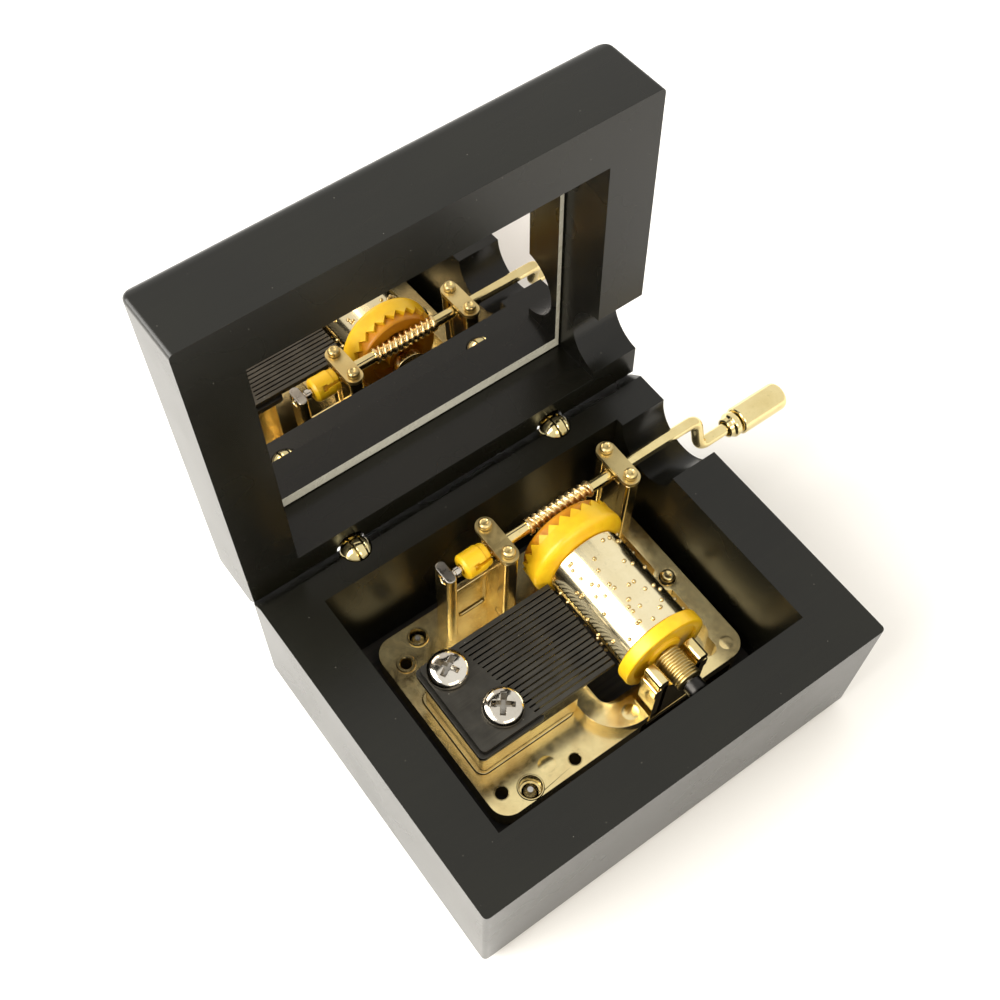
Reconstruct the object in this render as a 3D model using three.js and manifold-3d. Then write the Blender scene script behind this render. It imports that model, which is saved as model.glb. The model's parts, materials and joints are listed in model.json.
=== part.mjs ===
// Hand-cranked cylinder music box in a lacquered wooden case with a mirrored lid.
//
// Frame, in millimetres: origin at the middle of the case's underside, +X to the crank side,
// +Y to the hinge side, +Z up. The lid is modelled shut and turned about its hinge to its open pose.

import * as THREE from 'three';
import { mergeVertices } from 'three/addons/utils/BufferGeometryUtils.js';
import Module from 'manifold-3d';

const wasm = await Module();
wasm.setup();

// ---------------------------------------------------------------- driving dimensions

const FIT = 0.3; // clearance between neighbouring pieces

const CASE = { width: 77, depth: 63, height: 28.5, round: 2.5, ledge: 4, rabbet: 3 };
const CAVITY = { left: -29.5, right: 29.5, front: -22.4, back: 23.8 };
const MITRE = { start: 28.5, drop: 2.7 }; // relief along the back edges so that the lid can swing
const LID = { gap: 0.4, height: 14.2, round: 3, mirrorDepth: 9.1, mirrorThickness: 1.8 };
const LID_OPEN = 92.8; // degrees from shut to the open rest pose
const HINGE = { x: 20.2, y: 28.87, z: 27.32, knuckle: 2.7, barrel: 2.35, barrelY: 28.4, reach: 10, pin: 0.5 };
const NOTCH = { y: 15.7, radius: 6.55 };

const DECK = { left: -24.2, right: 27.4, front: -16.9, back: 21.0, bottom: 4, top: 8.6, round: 3.4 };
const RAISED_TOP = 11.2; // top of the raised frame round the cylinder

const SHAFT = { y: 16.9, z: 26.2, radius: 1.1 }; // worm shaft and crank
const WORM = { start: 5.2, end: 18.1, root: 1.0, crest: 1.5, lead: 2.34, starts: 2 };
const CRANK = { armX: 41.6, throwY: -1.9, throwZ: -5.7, bend: 1.7, end: 58.8 };

const AXIS = { x: 11.2, z: 20.9 }; // cylinder arbor, along Y
const BARREL = { radius: 6.8, wall: 1, front: -9.7, back: 8.6, pinHeight: 0.5 };
const WHEEL = {
  teeth: 24, shoulder: 9.1, crown: 8.85, rim: 8.1, coneFront: 8.9, toothRoot: 12.8, toothTip: 14.0, back: 14.9,
};
const WHEEL_PHASE = 0.077; // turn of the crown, in radians, at rest
const ARBOR = { radius: 1.0, front: -20.0, back: 19.2 };

const COMB = { left: -22.5, tip: 3.6, back: 8.65, front: -9.1, bottom: 19.8, thickness: 1.0, teeth: 18, slit: 0.26 };
const COMB_SCREWS = [[-18.8, 5.5], [-15.5, -4.8]];

// ---------------------------------------------------------------- materials

const COLOURS = {
  lacquer: [0x1b1a16, 0.28, 0.0],
  board: [0x1a1714, 0.7, 0.0],
  mirror: [0xd8dcd8, 0.03, 1.0],
  gold: [0xd8b765, 0.2, 1.0],
  nickel: [0xcfcdc4, 0.2, 1.0],
  blued: [0x33332f, 0.4, 0.9],
  steel: [0x9a968c, 0.3, 1.0],
  yellow: [0xf2c318, 0.4, 0.0],
  black: [0x141414, 0.35, 0.3],
};

function material(name) {
  const [color, roughness, metalness] = COLOURS[name];
  return new THREE.MeshStandardMaterial({ color, roughness, metalness });
}

// ---------------------------------------------------------------- solids

/** A closed three.js geometry as a solid that can be joined and cut. */
function solid(geometry) {
  const bare = geometry.clone();
  bare.deleteAttribute('normal');
  bare.deleteAttribute('uv');
  const merged = mergeVertices(bare, 1e-4);
  const mesh = new wasm.Mesh({
    numProp: 3,
    vertProperties: new Float32Array(merged.attributes.position.array),
    triVerts: new Uint32Array(merged.index.array),
  });
  return new wasm.Manifold(mesh);
}

/** A solid back as a three.js geometry. */
function geometryOf(body) {
  const mesh = body.getMesh();
  const geometry = new THREE.BufferGeometry();
  geometry.setAttribute('position', new THREE.BufferAttribute(new Float32Array(mesh.vertProperties), 3));
  geometry.setIndex(new THREE.BufferAttribute(new Uint32Array(mesh.triVerts), 1));
  return geometry;
}

const join = (first, ...rest) => rest.reduce((whole, part) => whole.add(part), first);
const cut = (first, ...rest) => rest.reduce((whole, part) => whole.subtract(part), first);

/** A box between two corners. */
function box([x0, y0, z0], [x1, y1, z1]) {
  const geometry = new THREE.BoxGeometry(x1 - x0, y1 - y0, z1 - z0);
  geometry.translate((x0 + x1) / 2, (y0 + y1) / 2, (z0 + z1) / 2);
  return solid(geometry);
}

/** A cylinder along an axis, between two places on it. centre holds the other two coordinates in order. */
function rod(axis, centre, from, to, radius, sides = 24, endRadius = radius) {
  const geometry = new THREE.CylinderGeometry(endRadius, radius, to - from, sides);
  const middle = (from + to) / 2;
  if (axis === 'x') {
    geometry.rotateZ(-Math.PI / 2);
    geometry.translate(middle, centre[0], centre[1]);
  } else if (axis === 'y') {
    geometry.translate(centre[0], middle, centre[1]);
  } else {
    geometry.rotateX(Math.PI / 2);
    geometry.translate(centre[0], centre[1], middle);
  }
  return solid(geometry);
}

/** A profile of [radius, place] points turned about an axis. */
function turned(axis, centre, profile, sides = 32) {
  const geometry = new THREE.LatheGeometry(profile.map(([r, h]) => new THREE.Vector2(r, h)), sides);
  if (axis === 'x') {
    geometry.rotateZ(-Math.PI / 2);
    geometry.translate(0, centre[0], centre[1]);
  } else if (axis === 'y') {
    geometry.translate(centre[0], 0, centre[1]);
  } else {
    geometry.rotateX(Math.PI / 2);
    geometry.translate(centre[0], centre[1], 0);
  }
  return solid(geometry);
}

/** An outline in X and Y raised between two heights. */
function raised(shape, bottom, top, segments = 3) {
  const options = { depth: top - bottom, bevelEnabled: false, curveSegments: segments };
  const geometry = new THREE.ExtrudeGeometry(shape, options);
  geometry.translate(0, 0, bottom);
  return solid(geometry);
}

/** An outline in X and Z pushed through from one Y to another. */
function alongY(shape, from, to, segments = 3) {
  const options = { depth: to - from, bevelEnabled: false, curveSegments: segments };
  const geometry = new THREE.ExtrudeGeometry(shape, options);
  geometry.rotateX(Math.PI / 2);
  geometry.translate(0, to, 0);
  return solid(geometry);
}

/** An outline in Y and Z pushed through from one X to another. */
function alongX(shape, from, to, segments = 3) {
  const options = { depth: to - from, bevelEnabled: false, curveSegments: segments };
  const geometry = new THREE.ExtrudeGeometry(shape, options);
  geometry.rotateY(Math.PI / 2);
  geometry.rotateX(Math.PI / 2);
  geometry.translate(from, 0, 0);
  return solid(geometry);
}

/** A rectangle with rounded corners: radii in the order left-front, right-front, right-back, left-back. */
function roundedRectangle(left, right, low, high, radii) {
  const [r0, r1, r2, r3] = Array.isArray(radii) ? radii : [radii, radii, radii, radii];
  const shape = new THREE.Shape();
  shape.moveTo(left + r0, low);
  shape.lineTo(right - r1, low);
  if (r1) shape.absarc(right - r1, low + r1, r1, -Math.PI / 2, 0, false);
  shape.lineTo(right, high - r2);
  if (r2) shape.absarc(right - r2, high - r2, r2, 0, Math.PI / 2, false);
  shape.lineTo(left + r3, high);
  if (r3) shape.absarc(left + r3, high - r3, r3, Math.PI / 2, Math.PI, false);
  shape.lineTo(left, low + r0);
  if (r0) shape.absarc(left + r0, low + r0, r0, Math.PI, Math.PI * 1.5, false);
  return shape;
}

// ---------------------------------------------------------------- scene graph

const musicBox = new THREE.Group();
musicBox.name = 'cylinder_music_box';
const lidGroup = new THREE.Group();
lidGroup.position.set(0, HINGE.y, HINGE.z);
lidGroup.rotation.x = -THREE.MathUtils.degToRad(LID_OPEN);
musicBox.add(lidGroup);

/** One named piece, in its own place in the box. */
function piece(name, finish, body, parent = musicBox) {
  const geometry = geometryOf(body);
  if (parent === lidGroup) geometry.translate(0, -HINGE.y, -HINGE.z);
  const mesh = new THREE.Mesh(geometry, material(finish));
  mesh.name = name;
  parent.add(mesh);
  return mesh;
}

// ---------------------------------------------------------------- case

const HALF_WIDTH = CASE.width / 2;
const HALF_DEPTH = CASE.depth / 2;
const LID_BOTTOM = CASE.height + LID.gap;
const LID_TOP = LID_BOTTOM + LID.height;

/** Outer form of the case or lid: two rounded profiles crossed, with the back edge relieved. */
function shellForm(bottom, top, bottomRound, topRound, profile) {
  const radii = [bottomRound, bottomRound, topRound, topRound];
  const across = alongY(roundedRectangle(-HALF_WIDTH, HALF_WIDTH, bottom, top, radii), -HALF_DEPTH, HALF_DEPTH);
  const inDepth = alongX(roundedRectangle(-HALF_DEPTH, HALF_DEPTH, bottom, top, radii), -HALF_WIDTH, HALF_WIDTH);
  const relief = new THREE.Shape(profile.map(([y, z]) => new THREE.Vector2(y, z)));
  return across.intersect(inDepth).subtract(alongX(relief, -HALF_WIDTH - 1, HALF_WIDTH + 1));
}

/** Room in the wood for one barrel hinge: its two bores, the knuckle and the neck that swings. */
function hingeRoom(x, shutLid) {
  const pocket = solid(new THREE.SphereGeometry(HINGE.knuckle + FIT, 16, 10).translate(x, HINGE.y, HINGE.z));
  const depth = HINGE.reach + FIT;
  const bore = shutLid
    ? rod('z', [x, HINGE.barrelY], HINGE.z, HINGE.z + depth, HINGE.barrel + FIT)
    : rod('z', [x, HINGE.barrelY], HINGE.z - depth, HINGE.z, HINGE.barrel + FIT);
  return join(pocket, bore);
}

/** Where the lid's neck passes through the back edge of the case. */
function neckSlot(x) {
  return box([x - 0.8, HINGE.y, HINGE.z - 2.2], [x + 1.5, HALF_DEPTH + 1, CASE.height + 1]);
}

function caseBody() {
  const relief = [
    [MITRE.start, CASE.height],
    [HALF_DEPTH + 1, CASE.height - MITRE.drop * ((HALF_DEPTH + 1 - MITRE.start) / (HALF_DEPTH - MITRE.start))],
    [HALF_DEPTH + 1, CASE.height + 1],
    [MITRE.start, CASE.height + 1],
  ];
  const form = shellForm(0, CASE.height, CASE.round, 0, relief);
  const cavity = box([CAVITY.left, CAVITY.front, CASE.ledge - 1], [CAVITY.right, CAVITY.back, CASE.height + 1]);
  const rabbet = box(
    [CAVITY.left - CASE.rabbet, CAVITY.front - CASE.rabbet, -1],
    [CAVITY.right + CASE.rabbet, CAVITY.back + CASE.rabbet, CASE.ledge],
  );
  const notch = rod('x', [NOTCH.y, CASE.height], CAVITY.right - 1, HALF_WIDTH + 1, NOTCH.radius, 40);
  const rooms = [-HINGE.x, HINGE.x].map((x) => hingeRoom(x, false).add(neckSlot(x)));
  return cut(form, cavity, rabbet, notch, ...rooms);
}

function lidShell() {
  const drop = MITRE.drop * ((HALF_DEPTH + 1 - MITRE.start) / (HALF_DEPTH - MITRE.start));
  const relief = [
    [MITRE.start, LID_BOTTOM],
    [MITRE.start, LID_BOTTOM - 1],
    [HALF_DEPTH + 1, LID_BOTTOM - 1],
    [HALF_DEPTH + 1, LID_BOTTOM + drop],
  ];
  const form = shellForm(LID_BOTTOM, LID_TOP, 0, LID.round, relief);
  const ceiling = LID_BOTTOM + LID.mirrorDepth + LID.mirrorThickness + FIT;
  const recess = box([CAVITY.left, CAVITY.front, LID_BOTTOM - 1], [CAVITY.right, CAVITY.back, ceiling]);
  const notch = rod('x', [NOTCH.y, CASE.height], CAVITY.right - 1, HALF_WIDTH + 1, NOTCH.radius, 40);
  const rooms = [-HINGE.x, HINGE.x].map((x) => hingeRoom(x, true));
  return cut(form, recess, notch, ...rooms);
}

function bottomPanel(screwPlaces) {
  const edge = CASE.rabbet - FIT;
  const panel = box(
    [CAVITY.left - edge, CAVITY.front - edge, 0],
    [CAVITY.right + edge, CAVITY.back + edge, CASE.ledge - FIT],
  );
  const holes = screwPlaces.map(([x, y]) =>
    join(rod('z', [x, y], -1, CASE.ledge, 1.6), rod('z', [x, y], -0.01, 2.0, 3.1, 24, 1.7)),
  );
  return cut(panel, ...holes);
}

// Movement screws come up through the bottom panel into the bedplate.
const MOUNT_SCREWS = [[-16.9, -14.6], [-16.4, 18.2], [24.6, 1.2]];

piece('case_body', 'lacquer', caseBody());
piece('bottom_panel', 'board', bottomPanel(MOUNT_SCREWS));
piece('lid_shell', 'lacquer', lidShell(), lidGroup);
piece(
  'mirror',
  'mirror',
  box(
    [CAVITY.left + FIT, CAVITY.front + FIT, LID_BOTTOM + LID.mirrorDepth],
    [CAVITY.right - FIT, CAVITY.back - FIT, LID_BOTTOM + LID.mirrorDepth + LID.mirrorThickness],
  ),
  lidGroup,
);

// ---------------------------------------------------------------- barrel hinges

const LEAF = { offset: 0.35, half: 0.7, slotSide: 0.25 }; // the lid's leaf, and the slot's extra on each side

function hingeCaseHalf(x) {
  const dome = solid(new THREE.SphereGeometry(HINGE.knuckle, 20, 12).translate(x, HINGE.y, HINGE.z));
  const barrel = rod('z', [x, HINGE.barrelY], HINGE.z - HINGE.reach, HINGE.z, HINGE.barrel);
  const reach = LEAF.half + LEAF.slotSide;
  const slot = box([x + LEAF.offset - reach, 20, 20], [x + LEAF.offset + reach, 40, 40]);
  const swing = rod('x', [HINGE.y, HINGE.z], x - 5, x + 5, HINGE.knuckle + FIT, 24);
  const pinHole = rod('x', [HINGE.y, HINGE.z], x - 5, x + 5, HINGE.pin + FIT, 12);
  return cut(join(dome, barrel), slot.intersect(swing), pinHole);
}

function hingeLidHalf(x) {
  const leaf = [x + LEAF.offset - LEAF.half, x + LEAF.offset + LEAF.half];
  const disc = rod('x', [HINGE.y, HINGE.z], ...leaf, 2.45, 20);
  const barrelStart = HINGE.z + HINGE.knuckle + 0.45;
  const neck = box([leaf[0], HINGE.y - 1.7, HINGE.z], [leaf[1], HINGE.y + 1.2, barrelStart + 1]);
  const barrel = rod('z', [x, HINGE.barrelY], barrelStart, HINGE.z + HINGE.reach, HINGE.barrel);
  const pinHole = rod('x', [HINGE.y, HINGE.z], x - 5, x + 5, HINGE.pin + FIT, 12);
  return cut(join(disc, neck, barrel), pinHole);
}

for (const [side, x] of [['left', -HINGE.x], ['right', HINGE.x]]) {
  piece(`hinge_${side}_case_half`, 'gold', hingeCaseHalf(x));
  piece(`hinge_${side}_lid_half`, 'gold', hingeLidHalf(x), lidGroup);
  piece(`hinge_${side}_pin`, 'steel', rod('x', [HINGE.y, HINGE.z], x - 2.2, x + 2.2, HINGE.pin, 12));
}

// ---------------------------------------------------------------- bedplate

const BEARING = { left: -0.9, right: 24.2, halfPitch: 3.2, width: 3.4, capBottom: 27.6, capTop: 28.4 };
const END_POST = { x: -10.8, thickness: 1.9, front: 15.0, back: 19.5, top: 27.6 };
const PLATE_HOLES = [[-21.3, -12.6, 1.1], [-8.1, -15.0, 1.0], [-20.9, 15.2, 1.0]];
const FORK = { left: 7.2, right: 15.2, half: 1.1, front: -16.8, back: -13.1, top: 22.5 };
const PEDESTAL = { left: -22.2, right: -11.7, front: -8.5, back: 8.2, top: 18.1 };
const APRON = { right: -2.6, front: -8.5, back: -7.1, top: 14.2 }; // low wall under the front of the comb's teeth

/** Two pillars on either side of the worm shaft. */
function bearingPillars(x) {
  const pillars = [-BEARING.halfPitch, BEARING.halfPitch].map((offset) => {
    const outline = roundedRectangle(
      x - 1.35, x + 1.35, SHAFT.y + offset - 1.25, Math.min(SHAFT.y + offset + 1.25, DECK.back - 0.1), 0.6,
    );
    return raised(outline, DECK.bottom + 2, BEARING.capBottom - FIT, 3);
  });
  const saddle = box(
    [x - 0.9, SHAFT.y - 2.4, DECK.bottom + 2],
    [x + 0.9, SHAFT.y + 2.4, SHAFT.z - SHAFT.radius - FIT],
  );
  return join(saddle, ...pillars);
}

/** Raised frame round the cylinder: a right rail, the front bar and the hook that ends beside the comb. */
function raisedFrame() {
  const shape = new THREE.Shape();
  shape.moveTo(DECK.right - 3.4, DECK.front);
  shape.absarc(DECK.right - 3.4, DECK.front + 3.4, 3.4, -Math.PI / 2, 0, false);
  shape.lineTo(DECK.right, 17.0);
  shape.lineTo(DECK.right - 3.6, 17.0);
  shape.lineTo(DECK.right - 3.6, -9.7);
  shape.absarc(DECK.right - 6.0, -9.7, 2.4, 0, -Math.PI / 2, true);
  shape.lineTo(4.2, -12.1);
  shape.absarc(4.2, -7.9, 4.2, -Math.PI / 2, -Math.PI, true);
  shape.lineTo(0.0, -6.2);
  shape.absarc(-1.4, -6.2, 1.4, 0, Math.PI, false);
  shape.lineTo(-2.8, -9.6);
  shape.absarc(4.5, -9.6, 7.3, Math.PI, Math.PI * 1.5, false);
  shape.closePath();
  return raised(shape, DECK.bottom + 1, RAISED_TOP, 4);
}

function bedplate() {
  const deck = raised(
    roundedRectangle(DECK.left, DECK.right, DECK.front, DECK.back, DECK.round), DECK.bottom, DECK.top,
  );
  const well = raised(roundedRectangle(1.6, 22.4, -10.6, 12.8, 2), DECK.bottom - 1, DECK.top + 1, 4);
  const pedestal = raised(
    roundedRectangle(PEDESTAL.left, PEDESTAL.right, PEDESTAL.front, PEDESTAL.back, 1.2),
    DECK.bottom + 2, PEDESTAL.top, 3,
  );
  const post = raised(
    roundedRectangle(
      END_POST.x - END_POST.thickness / 2, END_POST.x + END_POST.thickness / 2,
      END_POST.front, END_POST.back, 0.85,
    ),
    DECK.bottom + 2, END_POST.top, 4,
  );
  const web = box([END_POST.x, 16.6, DECK.bottom + 2], [BEARING.left, 17.8, 20.0]);
  const arborPost = box([AXIS.x - 3, 17.2, DECK.bottom + 2], [AXIS.x + 3, 19.0, AXIS.z + 2.8]);
  const apron = box([PEDESTAL.right - 1, APRON.front, DECK.bottom + 2], [APRON.right, APRON.back, APRON.top]);
  const lobe = rod('z', [24.6, 1.2], DECK.bottom + 1, RAISED_TOP, 2.5, 24);
  const backHoleBoss = rod('z', [MOUNT_SCREWS[1][0], MOUNT_SCREWS[1][1]], DECK.top - 1, DECK.top + 0.4, 1.9);
  const sideHoleBoss = rod('z', [-20.9, 15.2], DECK.top - 1, DECK.top + 0.4, 1.7);
  const whole = join(
    deck.subtract(well), pedestal, apron, post, web, arborPost, lobe, backHoleBoss, sideHoleBoss, raisedFrame(),
    bearingPillars(BEARING.left), bearingPillars(BEARING.right),
  );
  const holes = PLATE_HOLES.map(([x, y, r]) => rod('z', [x, y], DECK.bottom - 1, DECK.top + 1, r, 16));
  const mountBores = MOUNT_SCREWS.map(([x, y]) => rod('z', [x, y], DECK.bottom - 1, RAISED_TOP + 1, 1.45, 16));
  const counterbore = rod('z', [MOUNT_SCREWS[0][0], MOUNT_SCREWS[0][1]], 6.4, DECK.top + 1, 1.85, 20);
  const combBores = COMB_SCREWS.map(([x, y]) => rod('z', [x, y], 13.5, PEDESTAL.top + 1, 1.5, 16));
  const arborHole = rod('y', [AXIS.x, AXIS.z], 15, 21, ARBOR.radius + FIT, 16);
  const pivotHole = rod('x', [SHAFT.y, SHAFT.z], END_POST.x - 3, END_POST.x + 3, 0.7 + FIT, 16);
  const window = raised(roundedRectangle(20.0, 22.9, -14.6, -9.6, 1.3), 6.6, RAISED_TOP + 1, 4);
  const forkSeat = box([5.6, -17.6, 7.2], [16.8, -12.0, RAISED_TOP + 1]);
  return cut(whole, ...holes, ...mountBores, counterbore, ...combBores, arborHole, pivotHole, window, forkSeat);
}

piece('bedplate', 'gold', bedplate());

/** Fork that the cylinder's front end turns in: two springy arms on a foot. */
function frontFork() {
  const armShape = (centre, outward) => {
    const shape = new THREE.Shape();
    const inner = centre - outward * FORK.half;
    const outer = centre + outward * FORK.half;
    shape.moveTo(inner, 9);
    shape.lineTo(inner, FORK.top - 1);
    shape.quadraticCurveTo(inner, FORK.top, centre, FORK.top);
    shape.quadraticCurveTo(outer, FORK.top, outer, FORK.top - 1.1);
    shape.lineTo(centre + outward * 0.35, FORK.top - 1.9);
    shape.lineTo(outer + outward * 0.3, FORK.top - 2.7);
    shape.quadraticCurveTo(outer + outward * 0.5, FORK.top - 4, outer, FORK.top - 5);
    shape.lineTo(outer, 9);
    shape.closePath();
    return shape;
  };
  const arms = [[FORK.left, -1], [FORK.right, 1]].map(([x, outward]) =>
    alongY(armShape(x, outward), FORK.front, FORK.back, 4),
  );
  const foot = box([FORK.left - 1.1, FORK.front, 7.5], [FORK.right + 1.1, FORK.back, 10.4]);
  const cradle = box([FORK.left, FORK.front, 10], [FORK.right, FORK.back, AXIS.z]);
  const opening = rod('y', [AXIS.x, AXIS.z], FORK.front - 1, FORK.back + 1, 2.6 + FIT, 24);
  return cut(join(foot, cradle, ...arms), opening);
}

piece('front_fork', 'gold', frontFork());

// ---------------------------------------------------------------- bearings of the worm shaft

for (const [side, x] of [['left', BEARING.left], ['right', BEARING.right]]) {
  const half = BEARING.width / 2;
  const outline = roundedRectangle(
    x - half, x + half, SHAFT.y - BEARING.halfPitch - half, SHAFT.y + BEARING.halfPitch + half, half - 0.01,
  );
  const rivetPlaces = [['front', SHAFT.y - BEARING.halfPitch], ['back', SHAFT.y + BEARING.halfPitch]];
  const holes = rivetPlaces.map(([, y]) => rod('z', [x, y], BEARING.capBottom - 1, BEARING.capTop + 1, 0.95, 12));
  piece(`bearing_cap_${side}`, 'gold', cut(raised(outline, BEARING.capBottom, BEARING.capTop, 4), ...holes));
  for (const [end, y] of rivetPlaces) {
    const low = BEARING.capBottom;
    const head = BEARING.capTop + FIT;
    const profile = [
      [0, low], [0.65, low], [0.65, head], [1.15, head], [1.15, head + 0.3], [0.85, head + 0.9], [0, head + 0.95],
    ];
    piece(`cap_rivet_${side}_${end}`, 'gold', turned('z', [x, y], profile, 16));
  }
}

// ---------------------------------------------------------------- crank and worm shaft

/** Worm: its section, with one lobe for each start, is twisted along the shaft. */
function worm() {
  const sides = 12;
  const shape = new THREE.Shape();
  for (let i = 0; i < sides; i++) {
    const angle = (i / sides) * Math.PI * 2;
    const wave = 0.5 + 0.5 * Math.cos(WORM.starts * angle);
    const r = WORM.root + (WORM.crest - WORM.root) * wave;
    const point = [r * Math.cos(angle), r * Math.sin(angle)];
    if (i === 0) shape.moveTo(...point);
    else shape.lineTo(...point);
  }
  shape.closePath();
  const length = WORM.end - WORM.start;
  const steps = Math.round((length / WORM.lead) * 12);
  const geometry = new THREE.ExtrudeGeometry(shape, { depth: length, steps, bevelEnabled: false });
  const position = geometry.attributes.position;
  const point = new THREE.Vector3();
  for (let i = 0; i < position.count; i++) {
    point.fromBufferAttribute(position, i);
    point.applyAxisAngle(new THREE.Vector3(0, 0, 1), (point.z / WORM.lead) * Math.PI * 2);
    position.setXYZ(i, point.x, point.y, point.z);
  }
  geometry.rotateY(Math.PI / 2);
  geometry.translate(WORM.start, SHAFT.y, SHAFT.z);
  return solid(geometry);
}

/** Centre line of the crank's arm, with a rounded bend at each end. */
function crankLine() {
  const upper = new THREE.Vector3(CRANK.armX, SHAFT.y, SHAFT.z);
  const lower = new THREE.Vector3(CRANK.armX, SHAFT.y + CRANK.throwY, SHAFT.z + CRANK.throwZ);
  const down = lower.clone().sub(upper).normalize();
  const along = new THREE.Vector3(1, 0, 0);
  const bendIn = upper.clone().addScaledVector(along, -CRANK.bend);
  const bendOut = upper.clone().addScaledVector(down, CRANK.bend);
  const lowerIn = lower.clone().addScaledVector(down, -CRANK.bend);
  const lowerOut = lower.clone().addScaledVector(along, CRANK.bend);
  const line = new THREE.CurvePath();
  line.add(new THREE.LineCurve3(bendIn.clone().addScaledVector(along, -0.3), bendIn));
  line.add(new THREE.QuadraticBezierCurve3(bendIn, upper, bendOut));
  line.add(new THREE.LineCurve3(bendOut, lowerIn));
  line.add(new THREE.QuadraticBezierCurve3(lowerIn, lower, lowerOut));
  line.add(new THREE.LineCurve3(lowerOut, lowerOut.clone().addScaledVector(along, 0.3)));
  return line;
}

/** A round wire along a line of curves. */
function wire(line, radius, sides, steps) {
  const section = new THREE.Shape();
  section.absarc(0, 0, radius, 0, Math.PI * 2, false);
  const options = { extrudePath: line, steps, bevelEnabled: false, curveSegments: sides };
  return solid(new THREE.ExtrudeGeometry(section, options));
}

const KNOB = { y: SHAFT.y + CRANK.throwY, z: SHAFT.z + CRANK.throwZ };

/** The whole crank in one: journal, worm between two small rings, straight shaft, arm and knob spindle. */
function crankShaft() {
  const place = [SHAFT.y, SHAFT.z];
  const journal = rod('x', place, -2.7, WORM.start + 0.2, SHAFT.radius, 16);
  const rings = [WORM.start - 0.1, WORM.end - 0.5].map((x) => rod('x', place, x, x + 0.6, WORM.crest, 16));
  const straight = rod('x', place, WORM.end - 0.3, CRANK.armX - CRANK.bend, SHAFT.radius, 16);
  const arm = wire(crankLine(), SHAFT.radius - 0.01, 8, 20);
  const spindle = rod('x', [KNOB.y, KNOB.z], CRANK.armX + CRANK.bend, CRANK.end, SHAFT.radius, 16);
  const head = rod('x', [KNOB.y, KNOB.z], CRANK.end - 0.2, CRANK.end + 0.4, 1.6, 16);
  return join(worm(), journal, ...rings, straight, arm, spindle, head);
}

piece('crank_shaft', 'gold', crankShaft());

const pinProfile = [
  [0, END_POST.x - 0.8], [0.5, END_POST.x - 0.8], [0.7, END_POST.x - 0.5], [0.7, -3.0], [0, -3.0],
];
piece('pivot_pin', 'nickel', turned('x', [SHAFT.y, SHAFT.z], pinProfile, 14));

/** Friction clutch between the pivot pin and the shaft: a split plastic sleeve. */
function clutch() {
  const profile = [
    [1.0, -8.0], [1.9, -8.0], [2.3, -7.6], [2.3, -4.3], [2.1, -4.0], [2.1, -3.3], [1.9, -3.0], [1.0, -3.0],
    [1.0, -8.0],
  ];
  const sleeve = turned('x', [SHAFT.y, SHAFT.z], profile, 24);
  const split = box([-6.3, SHAFT.y - 3, SHAFT.z - 1.2], [-2, SHAFT.y - 0.8, SHAFT.z - 0.4]);
  return cut(sleeve, split);
}
piece('clutch', 'yellow', clutch());

// ---------------------------------------------------------------- knob

const collarProfile = [
  [1.4, 47.7], [1.8, 47.7], [1.8, 48.6], [2.05, 48.7], [2.3, 48.9], [2.3, 49.8], [2.1, 50.0], [1.4, 50.0],
  [1.4, 47.7],
];
const knobProfile = [
  [1.4, 50.3], [2.4, 50.3], [2.6, 50.5], [2.6, 59.4], [2.45, 59.9], [2.1, 60.2], [0, 60.3],
  [0, 59.5], [1.9, 59.5], [1.9, 58.3], [1.4, 58.3], [1.4, 50.3],
];
piece('knob_collar', 'gold', turned('x', [KNOB.y, KNOB.z], collarProfile, 20));
piece('knob', 'gold', turned('x', [KNOB.y, KNOB.z], knobProfile, 24));

// ---------------------------------------------------------------- cylinder

const PIN_TURN = 137.5; // degrees between one melody pin and the next round the barrel

/** Hollow barrel with the melody pins that lift the comb teeth. */
function pinnedBarrel() {
  const inner = BARREL.radius - BARREL.wall;
  const profile = [
    [inner, BARREL.front], [BARREL.radius, BARREL.front], [BARREL.radius, BARREL.back],
    [inner, BARREL.back], [inner, BARREL.front],
  ];
  const pins = [];
  for (let row = 0; row < COMB.teeth; row++) {
    for (const turn of [0, 1]) {
      const pin = new THREE.CylinderGeometry(0.16, 0.2, 1.1, 5);
      pin.translate(0, BARREL.radius + BARREL.pinHeight - 0.55, 0);
      pin.rotateZ(Math.PI / 2);
      pin.rotateY(THREE.MathUtils.degToRad(180 + 10 + (row * 2 + turn) * PIN_TURN));
      pin.translate(AXIS.x, toothPlace(row), AXIS.z);
      pins.push(solid(pin));
    }
  }
  return join(turned('y', [AXIS.x, AXIS.z], profile, 48), ...pins);
}

/** Middle of a comb tooth along the cylinder. */
function toothPlace(index) {
  return COMB.front + ((COMB.back - COMB.front) * (index + 0.5)) / COMB.teeth;
}

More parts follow.
